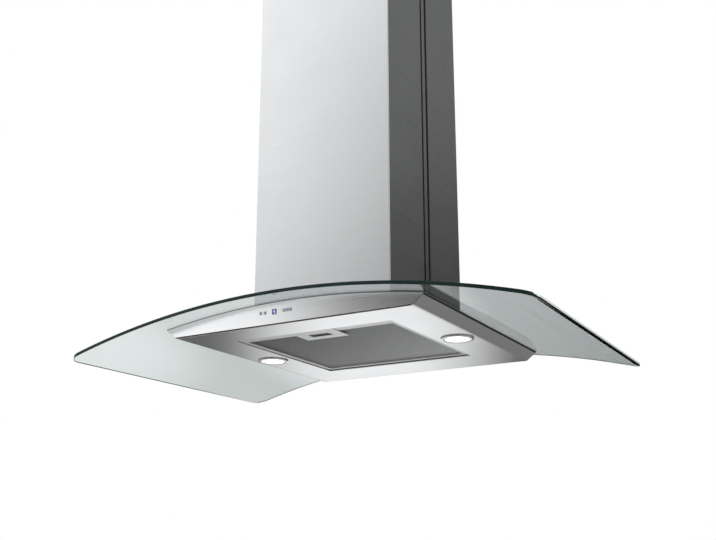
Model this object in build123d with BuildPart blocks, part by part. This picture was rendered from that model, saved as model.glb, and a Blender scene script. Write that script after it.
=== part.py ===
"""Curved glass island range hood, hung from the ceiling on a telescopic frame.

Millimetres. The origin is the centre of the ceiling plate's top face, +Z is up, +X is to the right
seen from the front, and the controls are on the front, -Y. The hood is drawn at its highest setting.
"""

import math
import os

from build123d import *

os.makedirs("parts", exist_ok=True)

# ---------------------------------------------------------------------------------------------
# Driving dimensions

# Hanging height: from the ceiling to the underside of the body, and how far it can be let down
drop = 850.0
height_travel = 300.0

# Bent glass canopy
glass_width = 900.0
glass_depth = 600.0
glass_thickness = 6.0
glass_sag = 65.0
glass_crown = 44.3
glass_corner_radius = 24.0

# Sheet steel body under the glass
body_width = 473.0
body_depth = 504.0
side_flare = 1.23
end_flare = 0.09
body_sheet = 1.2
lip_width = 4.0
panel_gap = 0.8
panel_setback = 5.0
mitre_gap = 0.5
front_reveal = 1.6
gasket_thickness = 1.5
gasket_width = 8.0

# Opening through glass and cover, under the chimney
throat_width = 192.0
throat_depth = 198.0
throat_corner = 12.0
glass_bolt_radius = 3.0
glass_bolt_inset = 25.0
bush_wall = 1.5
bolt_head = 4.0
bolt_head_radius = 5.0
bolt_reach = 12.0
thread_gap = 0.05
pad_thickness = 1.0

# Lower chimney, two halves joined by a strip at each side
chimney_width = 285.0
chimney_depth = 296.0
chimney_top = 800.0
chimney_sheet = 1.0
chimney_bend = 1.5
seam_width = 27.0
seam_depth = 7.0
seam_rib_width = 10.0
seam_strip_width = 12.0
seam_strip_thickness = 1.0
seam_strip_recess = 0.5
channel_thickness = 1.5
channel_width = 40.0
chimney_seat_gap = 0.4

# Upper chimney, which slides inside the lower one
slide_gap = 0.8
upper_overlap = 70.0
upper_joint_gap = 0.6
guide_height = 12.0
guide_gap = 0.3

# Ceiling plate
plate_thickness = 3.0
plate_flange = 20.0
plate_flange_thickness = 2.0
ceiling_hole_spacing = 200.0
ceiling_hole_radius = 4.5
ceiling_duct_radius = 80.0
cable_hole_radius = 8.0
ceiling_gap = 1.0
plate_screw_radius = 1.5
plate_screw_head = 1.6
plate_screw_drop = 12.0
plate_screw_spacing = 160.0

# Telescopic frame: angle uprights, one set inside the other
upright_leg = 22.0
upright_thickness = 2.0
upright_margin = 3.7
nesting_gap = 0.5
lower_upright_top = 750.0
upright_overlap = 70.0
frame_sheet = 2.0
frame_flange = 15.0
slot_width = 6.0
slot_margin = 12.0
height_screw_radius = 2.5
height_screw_below_top = 15.0
height_screw_head_radius = 4.5
height_screw_head = 2.5
height_nut_radius = 4.0
height_nut = 4.0
running_gap = 0.3

# Blower: scroll housing, drum impeller and motor
fan_height = 165.0
fan_offset = -18.0
impeller_radius = 72.0
impeller_width = 100.0
impeller_blades = 40
blade_depth = 12.0
blade_thickness = 1.2
blade_angle = 30.0
impeller_disc = 2.0
scroll_radius = 78.0
scroll_step = 9.0
scroll_width = 116.0
scroll_wall = 2.0
tongue_angle = 75.0
scroll_outlet = 275.0
inlet_radius = 60.0
shaft_radius = 4.0
shaft_gap = 0.05
hub_radius = 10.0
hub_length = 15.0
motor_radius = 40.0
motor_clearance = 3.0
bracket_thickness = 2.0
bracket_arm_width = 12.0
bracket_rim = 10.0
bracket_arms = 3
bracket_screw_radius = 1.5
bracket_screw_head = 1.6
rail_offset = 45.0
rail_width = 20.0
rail_height = 14.0
rail_thickness = 2.0
foot_spacing = 110.0
foot_width = 16.0
blower_screw_radius = 2.5
blower_screw_head = 4.5

# Outlet adaptor, duct collar and its non-return flaps
adaptor_height = 40.0
collar_radius = 75.0
collar_height = 45.0
collar_wall = 1.6
flap_thickness = 1.2
flap_gap = 1.0
flap_pivot_radius = 1.5
flap_pivot_spacing = 8.0
flap_level = 20.0
flap_ledge = 3.0
flap_barrel_wall = 1.0

# Cross brace, terminal box and capacitor
brace_level = 330.0
brace_height = 20.0
brace_thickness = 2.0
box_width = 90.0
box_height = 60.0
box_depth = 34.0
box_wall = 2.0
gland_radius = 7.0
gland_bore = 4.0
gland_length = 14.0
gland_nut = 4.7
capacitor_radius = 16.0
capacitor_length = 62.0
clip_wall = 1.2

# Grease filter and the recess that it sits in
filter_opening_width = 319.0
filter_opening_depth = 329.0
filter_opening_shift = -13.5
filter_recess = 2.0
filter_thickness = 9.0
filter_side_gap = 0.8
filter_rear_gap = 5.0
filter_lip = 6.0
filter_border = 10.0
filter_sheet = 1.0
mesh_recess = 3.0
mesh_layers = 3
mesh_sheet = 0.6
seat_foot = 8.0
seat_lip = 8.0
seat_gap = 1.0
pivot_radius = 2.0
pivot_inset = 3.5
pivot_length = 7.0

# Filter handle and its latch
handle_width = 85.0
handle_depth = 62.0
handle_sheet = 1.0
finger_width = 41.0
finger_depth = 18.0
finger_margin = 27.0
cup_wall = 1.2
latch_width = 20.0
latch_thickness = 3.0
latch_travel = 5.0
latch_nose = 0.5
spring_room = 4.0
tab_thickness = 2.0
tab_width = 34.0
spring_wire = 0.6
spring_radius = 1.4
spring_turns = 4

# Lamps
lamp_spacing = 398.0
lamp_shift = -2.0
bezel_radius = 29.5
bezel_thickness = 2.4
lens_radius = 22.5
lens_dome = 1.5
lens_thickness = 2.0
lamp_can_wall = 1.5
lamp_can_height = 13.0
lamp_hole_gap = 0.2
emitter_radius = 16.0
emitter_thickness = 2.0

# Controls on the front fascia
control_level = 21.2
button_width = 5.6
button_height = 5.2
button_corner = 1.2
button_places = {
    "light_button": -49.6,
    "power_button": -40.7,
    "speed_down_button": -2.2,
    "speed_up_button": 4.3,
    "timer_button": 10.8,
}
button_gap = 0.15
button_proud = 0.5
button_travel = 0.8
button_flange = 1.4
button_flange_thickness = 1.0
switch_gap = 0.1
display_place = -21.6
display_size = 9.4
display_recess = 0.1
carrier_margin = 8.0
carrier_thickness = 6.0
board_thickness = 1.6
switch_size = 4.0
switch_depth = 3.0
post_size = 4.0

# ---------------------------------------------------------------------------------------------
# Sizes that follow from them

base = -drop

# The glass is bent round an axis along Y
glass_radius = (glass_width**2 / 4 + glass_sag**2) / (2 * glass_sag)
glass_under_radius = glass_radius - glass_thickness
bend_axis = base + glass_crown - glass_radius
arch_floor = base - glass_sag - glass_thickness
arch_reach = 2 * (glass_sag + glass_crown)
cover_radius = glass_under_radius - gasket_thickness
cover_under_radius = cover_radius - body_sheet
pad_radius = glass_radius + pad_thickness
frame_radius = pad_radius + frame_sheet

# Lower chimney: half sizes outside and inside, and the seam's channel behind its halves
chimney_x = chimney_width / 2
chimney_y = chimney_depth / 2
glass_bolt_spacing_x = chimney_width - 2 * glass_bolt_inset
glass_bolt_spacing_y = chimney_depth - 2 * glass_bolt_inset
chimney_in_x = chimney_x - chimney_sheet
chimney_in_y = chimney_y - chimney_sheet
channel_face = chimney_x - seam_depth
channel_back = channel_face - channel_thickness
strip_face = chimney_x - seam_strip_recess

# Upper chimney, clear of the channels, with the same step in at the front and rear
chimney_step = chimney_x - channel_back + slide_gap
upper_x = chimney_x - chimney_step
upper_y = chimney_y - chimney_step
upper_in_x = upper_x - chimney_sheet
upper_in_y = upper_y - chimney_sheet
upper_bottom = base + chimney_top - height_travel - upper_overlap

# Uprights: the lower set stands inside the upper chimney, and the upper set nests inside it
lower_upright_x = upper_in_x - upright_margin
lower_upright_y = upper_in_y - upright_margin
upper_upright_x = lower_upright_x - upright_thickness - nesting_gap
upper_upright_y = lower_upright_y - upright_thickness - nesting_gap
upper_upright_bottom = base + lower_upright_top - height_travel - upright_overlap
screw_level = base + lower_upright_top - height_screw_below_top
slot_top = screw_level + slot_margin
slot_bottom = screw_level - height_travel - slot_margin
screw_y = lower_upright_y - upright_leg / 2

# The terminal box stands on the left brace, and its cable comes straight down through the ceiling plate
box_back = -lower_upright_x
gland_x = box_back + box_depth / 2

# Blower levels
fan_z = base + fan_height
scroll_half = scroll_width / 2
scroll_top = base + scroll_outlet
adaptor_top = scroll_top + adaptor_height
rail_top = base + glass_crown + pad_thickness + frame_sheet + rail_height
tongue_y = -scroll_step / 2 + scroll_radius * math.cos(math.radians(tongue_angle))
scroll_right = scroll_step / 2 + scroll_radius + 3 * scroll_step
outlet_y = fan_offset + (tongue_y + scroll_right) / 2
outlet_depth = scroll_right - tongue_y

# Filter recess and filter
opening_x = filter_opening_width / 2
opening_front = filter_opening_shift - filter_opening_depth / 2
opening_rear = filter_opening_shift + filter_opening_depth / 2
filter_x = opening_x - filter_side_gap
filter_front = opening_front + filter_side_gap
filter_rear = opening_rear - filter_rear_gap
filter_mid = (filter_front + filter_rear) / 2
filter_bottom = base + filter_recess
filter_top = filter_bottom + filter_thickness
pivot_y = filter_rear - pivot_inset
pivot_z = filter_bottom + pivot_inset

# Finger slot in the filter's handle
slot_front = opening_front + finger_margin
slot_mid = slot_front + finger_depth / 2
slot_rear = slot_front + finger_depth
cup_top = filter_top - filter_sheet
latch_z = filter_bottom + mesh_recess + running_gap + latch_thickness / 2

# Controls
control_z = base + control_level
fascia_in_y = body_depth / 2 + end_flare * control_level - body_sheet * math.hypot(1, end_flare)
carrier_back = -fascia_in_y + carrier_thickness
button_back = carrier_back + button_flange_thickness + switch_gap
switch_face = button_back + button_travel + switch_gap
board_face = switch_face + switch_depth
carrier_left = min(button_places.values()) - carrier_margin
carrier_right = max(button_places.values()) + carrier_margin


# ---------------------------------------------------------------------------------------------
# Profiles that several pieces share


def arch_band(low, high, half_width):
    """Upright section between two radii about the axis that the glass is bent round."""
    with BuildSketch(Plane.XZ) as band:
        with BuildLine():
            ends = []
            for radius in (low, high):
                side_z = bend_axis + math.sqrt(radius**2 - half_width**2)
                ends.append(side_z)
                ThreePointArc((-half_width, side_z), (0, bend_axis + radius), (half_width, side_z))
            for side_x in (-half_width, half_width):
                Line((side_x, ends[0]), (side_x, ends[1]))
        make_face()
    return band.sketch


def below_arch(radius):
    """Section of everything within reach below one radius of the bend."""
    return arch_band(radius / 2, radius, glass_width / 2)


def half_x(height, inset):
    """Half the body's width at a height over its underside, moved in square to the side wall."""
    return body_width / 2 + side_flare * height - inset * math.hypot(1, side_flare)


def half_y(height, inset):
    """Half the body's depth at a height over its underside, moved in square to the end wall."""
    return body_depth / 2 + end_flare * height - inset * math.hypot(1, end_flare)


def body_slice(height, inset):
    """Outline of the body at a height, moved in by an inset."""
    with BuildSketch(Plane.XY.offset(base + height)) as outline:
        Rectangle(2 * half_x(height, inset), 2 * half_y(height, inset))
    return outline.sketch


def wall_slice(side, height, outer, inner):
    """Mitred section of one wall of the body between two insets, at a height."""
    out_x, out_y = half_x(height, outer), half_y(height, outer)
    in_x, in_y = half_x(height, inner), half_y(height, inner)
    if side in ("front", "rear"):
        way = -1 if side == "front" else 1
        corners = [(-out_x + mitre_gap, way * out_y), (out_x - mitre_gap, way * out_y)]
        corners += [(in_x - mitre_gap, way * in_y), (-in_x + mitre_gap, way * in_y)]
    else:
        way = -1 if side == "left" else 1
        corners = [(way * out_x, -out_y + mitre_gap), (way * out_x, out_y - mitre_gap)]
        corners += [(way * in_x, in_y - mitre_gap), (way * in_x, -in_y + mitre_gap)]
    with BuildSketch(Plane.XY.offset(base + height)) as section:
        Polygon(*corners, align=None)
    return section.sketch


def throat(grow):
    """Plan of the opening under the chimney, grown all round."""
    with BuildSketch(Plane.XY.offset(arch_floor)) as plan:
        RectangleRounded(throat_width + 2 * grow, throat_depth + 2 * grow, throat_corner)
    return plan.sketch


def glass_bolt_plan(radius, level=arch_floor):
    """Plan of four circles where the glass bolts pass."""
    with BuildSketch(Plane.XY.offset(level)) as plan:
        with GridLocations(glass_bolt_spacing_x, glass_bolt_spacing_y, 2, 2):
            Circle(radius)
    return plan.sketch


def tube_plan(level, outer_x, outer_y, wall):
    """Plan of a rectangular tube."""
    with BuildSketch(Plane.XY.offset(level)) as plan:
        RectangleRounded(2 * outer_x, 2 * outer_y, chimney_bend)
        Rectangle(2 * (outer_x - wall), 2 * (outer_y - wall), mode=Mode.SUBTRACT)
    return plan.sketch


def half_tube_plan(level, way, outer_x, outer_y, edge):
    """Plan of a folded half chimney: its open side ends an edge distance from the middle."""
    with BuildSketch(Plane.XY.offset(level)) as plan:
        RectangleRounded(2 * outer_x, 2 * outer_y, chimney_bend)
        RectangleRounded(
            2 * (outer_x - chimney_sheet),
            2 * (outer_y - chimney_sheet),
            chimney_bend - chimney_sheet,
            mode=Mode.SUBTRACT,
        )
        with Locations((0, way * (edge + outer_y))):
            Rectangle(2 * outer_x, 2 * outer_y, mode=Mode.INTERSECT)
    return plan.sketch


def upright_plan(level, corner_x, corner_y):
    """Plan of four angle uprights with their backs to the corners of a rectangle."""
    with BuildSketch(Plane.XY.offset(level)) as plan:
        for way_x in (-1, 1):
            for way_y in (-1, 1):
                leg = upright_leg
                with Locations((way_x * (corner_x - leg / 2), way_y * (corner_y - leg / 2))):
                    Rectangle(leg, leg)
                inner = upright_leg - upright_thickness
                inner_x = corner_x - upright_thickness - inner / 2
                inner_y = corner_y - upright_thickness - inner / 2
                with Locations((way_x * inner_x, way_y * inner_y)):
                    Rectangle(inner, inner, mode=Mode.SUBTRACT)
    return plan.sketch


def seam_notches(level, gap):
    """Plan of the room that the joint channels of the lower chimney need at each side."""
    depth = chimney_x - channel_back + gap
    with BuildSketch(Plane.XY.offset(level)) as plan:
        for way in (-1, 1):
            with Locations((way * (chimney_x - depth / 2), 0)):
                Rectangle(depth, channel_width + 2 * gap)
    return plan.sketch


def side_plane(x):
    """Plane facing +X at a place along X, whose own axes are Y and Z."""
    return Plane.YZ.offset(x)


def scroll_outline(wall, top):
    """Spiral of quarter arcs with an outlet at the top, moved in by a wall, about the fan's axis."""
    half = scroll_step / 2
    centres = [(half, half), (half, -half), (-half, -half), (-half, half)]
    tongue_end = math.degrees(math.acos((tongue_y + wall + half) / (scroll_radius - wall)))
    starts = [0, -90, 180, 90]
    sweeps = [-90, -90, -90, tongue_end - 90]
    with BuildSketch(side_plane(0)) as outline:
        with BuildLine():
            for turn in range(4):
                radius = scroll_radius + (3 - turn) * scroll_step - wall
                centre = (fan_offset + centres[turn][0], fan_z + centres[turn][1])
                arc = CenterArc(centre, radius, starts[turn], sweeps[turn])
            left = fan_offset + tongue_y + wall
            right = fan_offset + scroll_right - wall
            Polyline(arc @ 1, (left, top), (right, top), (right, fan_z + half))
        make_face()
    return outline.sketch


def finish(piece, name):
    """Name a finished piece and write it."""
    piece.part.label = name
    export_step(piece.part, f"parts/{name}.step")


# ---------------------------------------------------------------------------------------------
# Glass canopy, its gasket and its fixings

with BuildPart() as canopy_glass:
    glass_band = arch_band(glass_under_radius, glass_radius, glass_width / 2 + glass_corner_radius)
    extrude(glass_band, amount=glass_depth / 2 + glass_corner_radius, both=True)
    with BuildSketch(Plane.XY.offset(arch_floor)) as glass_plan:
        RectangleRounded(glass_width, glass_depth, glass_corner_radius)
    extrude(amount=arch_reach, mode=Mode.INTERSECT)
    extrude(throat(0), amount=arch_reach, mode=Mode.SUBTRACT)
    extrude(glass_bolt_plan(glass_bolt_radius + bush_wall), amount=arch_reach, mode=Mode.SUBTRACT)
finish(canopy_glass, "canopy_glass")

with BuildPart() as glass_gasket:
    loft([body_slice(0, mitre_gap), body_slice(glass_crown, mitre_gap)], ruled=True)
    gasket_inside = [body_slice(0, gasket_width), body_slice(glass_crown, gasket_width)]
    loft(gasket_inside, ruled=True, mode=Mode.SUBTRACT)
    gasket_band = arch_band(cover_radius, glass_under_radius, glass_width / 2)
    extrude(gasket_band, amount=glass_depth, both=True, mode=Mode.INTERSECT)
finish(glass_gasket, "glass_gasket")

# Rubber pad under the base frame, moulded in one with the bushes that line the bolt holes
with BuildPart() as glass_pad:
    bush_band = arch_band(cover_radius, pad_radius, glass_width / 2)
    extrude(bush_band, amount=glass_depth / 2, both=True)
    extrude(glass_bolt_plan(glass_bolt_radius + bush_wall), amount=arch_reach, mode=Mode.INTERSECT)
    pad_section = arch_band(glass_radius, pad_radius, glass_width / 2)
    pad_band = extrude(pad_section, amount=glass_depth / 2, both=True, mode=Mode.PRIVATE)
    with BuildSketch(Plane.XY.offset(arch_floor)) as pad_plan:
        RectangleRounded(2 * chimney_in_x, 2 * chimney_in_y, chimney_bend)
        add(seam_notches(arch_floor, running_gap), mode=Mode.SUBTRACT)
    add(pad_band & extrude(pad_plan.sketch, amount=arch_reach, mode=Mode.PRIVATE))
    extrude(throat(0), amount=arch_reach, mode=Mode.SUBTRACT)
    extrude(glass_bolt_plan(glass_bolt_radius), amount=arch_reach, mode=Mode.SUBTRACT)
finish(glass_pad, "glass_pad")

# Each bolt hangs from its head on the base frame, down through glass and cover, into its nut
bolt_top = base + glass_crown + pad_thickness + frame_sheet + bolt_head
bolt_bottom = base + glass_crown - glass_thickness - gasket_thickness - body_sheet - bolt_reach

with BuildPart() as glass_bolts:
    extrude(glass_bolt_plan(bolt_head_radius, base), amount=bolt_top - base)
    extrude(below_arch(frame_radius), amount=glass_depth, both=True, mode=Mode.SUBTRACT)
    extrude(glass_bolt_plan(glass_bolt_radius, bolt_bottom), amount=bolt_top - bolt_bottom)
    with BuildPart(mode=Mode.PRIVATE) as nuts:
        with BuildSketch(Plane.XY.offset(bolt_bottom)):
            with GridLocations(glass_bolt_spacing_x, glass_bolt_spacing_y, 2, 2):
                RegularPolygon(bolt_head_radius, 6)
                Circle(glass_bolt_radius + thread_gap, mode=Mode.SUBTRACT)
        extrude(amount=glass_crown)
        extrude(below_arch(cover_under_radius), amount=glass_depth, both=True, mode=Mode.INTERSECT)
    add(nuts.part)
finish(glass_bolts, "glass_bolts")

# ---------------------------------------------------------------------------------------------
# Body: four fascias, underside panel and top cover

# The panel rests under the lips of three walls. Its front edge stands back from the front wall, which
# ends above it, and that leaves a shadow gap.
for side in ("front", "right", "rear", "left"):
    with BuildPart() as fascia:
        wall_foot = front_reveal if side == "front" else 0
        loft([wall_slice(side, level, 0, body_sheet) for level in (wall_foot, glass_crown)], ruled=True)
        if side != "front":
            lip_inset = body_sheet + lip_width
            lip_levels = (body_sheet, 2 * body_sheet)
            loft([wall_slice(side, level, body_sheet / 2, lip_inset) for level in lip_levels], ruled=True)
        extrude(below_arch(cover_radius), amount=glass_depth, both=True, mode=Mode.INTERSECT)
        if side == "front":
            with BuildSketch(Plane.XZ.offset(body_depth / 4)) as control_holes:
                for place in button_places.values():
                    with Locations((place, control_z)):
                        RectangleRounded(
                            button_width + 2 * button_gap, button_height + 2 * button_gap, button_corner
                        )
                with Locations((display_place, control_z)):
                    Rectangle(display_size, display_size)
            extrude(amount=body_depth, mode=Mode.SUBTRACT)
    finish(fascia, f"{side}_fascia")

with BuildPart() as underside_panel:
    panel_inset = body_sheet + panel_gap
    loft([body_slice(0, panel_inset), body_slice(body_sheet, panel_inset)], ruled=True)
    with BuildSketch(Plane.XY.offset(base)) as panel_holes:
        with Locations((0, -body_depth / 2)):
            Rectangle(body_width, 2 * panel_setback)
        with Locations((0, filter_opening_shift)):
            Rectangle(filter_opening_width, filter_opening_depth)
        with Locations((0, lamp_shift)):
            with GridLocations(lamp_spacing, 0, 2, 1):
                Circle(lens_radius + lamp_can_wall + lamp_hole_gap)
    extrude(amount=body_sheet, mode=Mode.SUBTRACT)
finish(underside_panel, "underside_panel")

with BuildPart() as top_cover:
    loft([body_slice(0, body_sheet), body_slice(glass_crown, body_sheet)], ruled=True)
    cover_band = arch_band(cover_under_radius, cover_radius, glass_width / 2)
    extrude(cover_band, amount=glass_depth, both=True, mode=Mode.INTERSECT)
    extrude(throat(0), amount=arch_reach, mode=Mode.SUBTRACT)
    extrude(glass_bolt_plan(glass_bolt_radius), amount=arch_reach, mode=Mode.SUBTRACT)
finish(top_cover, "top_cover")

# ---------------------------------------------------------------------------------------------
# Filter recess

seat_top = filter_top + seat_gap

with BuildPart() as filter_seat:
    with BuildSketch(Plane.XY.offset(base + body_sheet)) as seat_wall:
        with Locations((0, filter_opening_shift)):
            Rectangle(filter_opening_width + 2 * body_sheet, filter_opening_depth + 2 * body_sheet)
            Rectangle(filter_opening_width, filter_opening_depth, mode=Mode.SUBTRACT)
    extrude(amount=seat_top + body_sheet - base - body_sheet)
    with BuildSketch(Plane.XY.offset(base + body_sheet)) as seat_feet:
        with Locations((0, filter_opening_shift)):
            Rectangle(filter_opening_width + 2 * seat_foot, filter_opening_depth + 2 * seat_foot)
            Rectangle(filter_opening_width, filter_opening_depth, mode=Mode.SUBTRACT)
    extrude(amount=body_sheet)
    with BuildSketch(Plane.XY.offset(seat_top)) as seat_lips:
        with Locations((0, filter_opening_shift)):
            Rectangle(filter_opening_width + body_sheet, filter_opening_depth + body_sheet)
            Rectangle(
                filter_opening_width - 2 * seat_lip, filter_opening_depth - 2 * seat_lip, mode=Mode.SUBTRACT
            )
    extrude(amount=body_sheet)
    with BuildSketch(side_plane(0)) as seat_bores:
        with Locations((pivot_y, pivot_z)):
            Circle(pivot_radius + shaft_gap)
    extrude(amount=opening_x + 2 * body_sheet, both=True, mode=Mode.SUBTRACT)
finish(filter_seat, "filter_seat")

# ---------------------------------------------------------------------------------------------
# Grease filter: frame, mesh, pivots, handle, latch and spring

filter_width = 2 * filter_x
filter_depth = filter_rear - filter_front
cup_width = finger_width + 2 * cup_wall
cup_depth = finger_depth + 2 * cup_wall
cup_front = slot_front - cup_wall

# The frame's face is a border, widest at the front, turned up along its inner edge to carry the mesh
window_x = filter_x - filter_border
window_front = cup_front - running_gap
window_rear = filter_rear - filter_border
window_mid = (window_front + window_rear) / 2
window_depth = window_rear - window_front

with BuildPart() as filter_frame:
    with BuildSketch(Plane.XY.offset(filter_bottom)) as frame_outline:
        with Locations((0, filter_mid)):
            Rectangle(filter_width, filter_depth)
    extrude(amount=filter_thickness)
    rear_edge = filter_frame.edges().filter_by(Axis.X).group_by(Axis.Y)[-1].sort_by(Axis.Z)[0]
    fillet(rear_edge, pivot_inset)
    with BuildSketch(Plane.XY.offset(filter_bottom + filter_sheet)) as channel_hollow:
        with Locations((0, filter_mid)):
            Rectangle(filter_width - 2 * filter_sheet, filter_depth - 2 * filter_sheet)
    extrude(amount=filter_thickness - 2 * filter_sheet, mode=Mode.SUBTRACT)
    with BuildSketch(Plane.XY.offset(filter_bottom)) as border_return:
        with Locations((0, window_mid)):
            Rectangle(2 * (window_x + filter_sheet), window_depth + 2 * filter_sheet)
    extrude(amount=mesh_recess)
    with BuildSketch(Plane.XY.offset(filter_bottom)) as frame_window:
        with Locations((0, window_mid)):
            Rectangle(2 * window_x, window_depth)
    extrude(amount=mesh_recess, mode=Mode.SUBTRACT)
    with BuildSketch(Plane.XY.offset(filter_top)) as top_window:
        with Locations((0, filter_mid)):
            Rectangle(filter_width - 2 * filter_lip, filter_depth - 2 * filter_lip)
    extrude(amount=-filter_sheet, mode=Mode.SUBTRACT)
    with BuildSketch(side_plane(0)) as frame_bores:
        with Locations((pivot_y, pivot_z)):
            Circle(pivot_radius)
    extrude(amount=filter_width, both=True, mode=Mode.SUBTRACT)
    with BuildSketch(Plane.XZ.offset(-filter_front - 2 * filter_sheet)) as latch_hole:
        with Locations((0, latch_z)):
            Rectangle(latch_width + 2 * running_gap, latch_thickness + 2 * running_gap)
    extrude(amount=3 * filter_sheet, mode=Mode.SUBTRACT)
finish(filter_frame, "filter_frame")

# The mesh is a stack of thin sheets held apart in the frame's channel
mesh_step = (filter_thickness - filter_sheet - mesh_recess - mesh_sheet) / (mesh_layers - 1)
mesh_levels = [filter_bottom + mesh_recess + layer * mesh_step for layer in range(mesh_layers)]

with BuildPart() as filter_mesh:
    with BuildSketch(*[Plane.XY.offset(level) for level in mesh_levels]) as mesh_outline:
        with Locations((0, filter_mid)):
            Rectangle(filter_width - 2 * filter_sheet, filter_depth - 2 * filter_sheet)
        with Locations((0, filter_front + filter_sheet)):
            notch_depth = cup_front + cup_depth - filter_front - filter_sheet + running_gap
            notch_width = cup_width + 2 * running_gap
            Rectangle(notch_width, notch_depth, align=(Align.CENTER, Align.MIN), mode=Mode.SUBTRACT)
    extrude(amount=mesh_sheet)
    with BuildSketch(Plane.XY.offset(filter_bottom)) as mesh_corners:
        with Locations((0, filter_rear)):
            with GridLocations(filter_width, 0, 2, 1):
                Rectangle(2 * pivot_length, 4 * pivot_inset)
    extrude(amount=filter_thickness, mode=Mode.SUBTRACT)
finish(filter_mesh, "filter_mesh")

with BuildPart() as filter_pivots:
    for way in (-1, 1):
        pivot_inner = way * (filter_x - filter_sheet - pivot_length + body_sheet)
        with BuildSketch(side_plane(pivot_inner)) as pivot_section:
            with Locations((pivot_y, pivot_z)):
                Circle(pivot_radius)
        extrude(amount=way * (pivot_length + filter_side_gap + filter_sheet))
finish(filter_pivots, "filter_pivots")

with BuildPart() as filter_handle:
    with BuildSketch(Plane.XY.offset(filter_bottom - handle_sheet)) as handle_plate:
        with Locations((0, filter_front)):
            Rectangle(handle_width, handle_depth, align=(Align.CENTER, Align.MIN))
        with Locations((0, slot_mid)):
            Rectangle(finger_width, finger_depth, mode=Mode.SUBTRACT)
    extrude(amount=handle_sheet)
    with BuildSketch(Plane.XY.offset(filter_bottom)) as handle_cup:
        with Locations((0, slot_mid)):
            Rectangle(cup_width, cup_depth)
            Rectangle(finger_width, finger_depth, mode=Mode.SUBTRACT)
    extrude(amount=cup_top - filter_bottom)
    with BuildSketch(Plane.XY.offset(cup_top - cup_wall)) as cup_ceiling:
        with Locations((0, slot_mid)):
            Rectangle(cup_width, cup_depth)
    extrude(amount=cup_wall)
    with BuildSketch(Plane.XZ.offset(-slot_mid)) as cup_slot:
        with Locations((0, latch_z)):
            Rectangle(latch_width + 2 * running_gap, latch_thickness + 2 * running_gap)
    extrude(amount=cup_depth, mode=Mode.SUBTRACT)
finish(filter_handle, "filter_handle")

# The latch's nose stops just short of the recess wall, and its tab hangs in the finger slot
nose_y = filter_front - latch_nose
latch_rear = slot_rear - spring_room - latch_travel

with BuildPart() as filter_latch:
    with BuildSketch(Plane.XY.offset(latch_z - latch_thickness / 2)) as latch_bar:
        with Locations((0, nose_y)):
            Rectangle(latch_width, latch_rear - nose_y, align=(Align.CENTER, Align.MIN))
    extrude(amount=latch_thickness)
    with BuildSketch(Plane.XY.offset(filter_bottom + running_gap)) as latch_tab:
        with Locations((0, latch_rear)):
            Rectangle(tab_width, tab_thickness, align=(Align.CENTER, Align.MAX))
    extrude(amount=latch_z + latch_thickness / 2 - filter_bottom - running_gap)
finish(filter_latch, "filter_latch")

# The spring pushes the latch forward from the rear wall of the handle's cup
spring_length = slot_rear - latch_rear
spring_pitch = (spring_length - spring_wire) / spring_turns

with BuildPart() as latch_spring:
    spring_start = (0, latch_rear + spring_wire / 2, latch_z)
    with BuildLine() as coil:
        coil_length = spring_pitch * spring_turns
        Helix(spring_pitch, coil_length, spring_radius, center=spring_start, direction=(0, 1, 0))
    with BuildSketch(Plane(origin=coil.line @ 0, z_dir=coil.line % 0)) as wire_section:
        Circle(spring_wire / 2)
    sweep(path=coil.line)
finish(latch_spring, "latch_spring")

# ---------------------------------------------------------------------------------------------
# Lamps: a bezel, lens, can and emitter at each side of the filter

sleeve_radius = lens_radius + lamp_can_wall
sleeve_top = base + body_sheet + lamp_can_height - lens_thickness
dome_sphere = (lens_radius**2 + lens_dome**2) / (2 * lens_dome)
lens_bottom = base - bezel_thickness


def lamp_plan(level, outer, inner=0):
    """Plan of a circle or ring for each lamp."""
    with BuildSketch(Plane.XY.offset(level)) as plan:
        with Locations((0, lamp_shift)):
            with GridLocations(lamp_spacing, 0, 2, 1):
                Circle(outer)
                if inner:
                    Circle(inner, mode=Mode.SUBTRACT)
    return plan.sketch


with BuildPart() as lamp_bezels:
    extrude(lamp_plan(lens_bottom, bezel_radius, lens_radius), amount=bezel_thickness)
    extrude(lamp_plan(base, sleeve_radius, lens_radius), amount=sleeve_top - base)
    lowest_rims = lamp_bezels.edges().filter_by(GeomType.CIRCLE).group_by(Axis.Z)[0]
    fillet(lowest_rims.group_by(SortBy.RADIUS)[-1], bezel_thickness / 2)
finish(lamp_bezels, "lamp_bezels")

with BuildPart() as lamp_lenses:
    with Locations((0, lamp_shift, lens_bottom - lens_dome + dome_sphere)):
        with GridLocations(lamp_spacing, 0, 2, 1):
            Sphere(dome_sphere)
    lens_range = lamp_plan(lens_bottom + lens_thickness, lens_radius)
    extrude(lens_range, amount=-lens_dome - lens_thickness, mode=Mode.INTERSECT)
finish(lamp_lenses, "lamp_lenses")

with BuildPart() as lamp_cans:
    extrude(lamp_plan(base, lens_radius), amount=lamp_can_height)
    can_hollow = lamp_plan(base, lens_radius - lamp_can_wall)
    extrude(can_hollow, amount=lamp_can_height - lamp_can_wall, mode=Mode.SUBTRACT)
finish(lamp_cans, "lamp_cans")

with BuildPart() as lamp_emitters:
    emitter_face = base + lamp_can_height - lamp_can_wall
    extrude(lamp_plan(emitter_face, emitter_radius), amount=-emitter_thickness)
finish(lamp_emitters, "lamp_emitters")

# ---------------------------------------------------------------------------------------------
# Controls: carrier, five buttons, display window and board with switches


def control_plan(y, width, height, corner):
    """Upright section of a control, seen from the front, at one place along Y for each button."""
    with BuildSketch(Plane.XZ.offset(-y)) as section:
        for place in button_places.values():
            with Locations((place, control_z)):
                RectangleRounded(width, height, corner)
    return section.sketch


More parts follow.
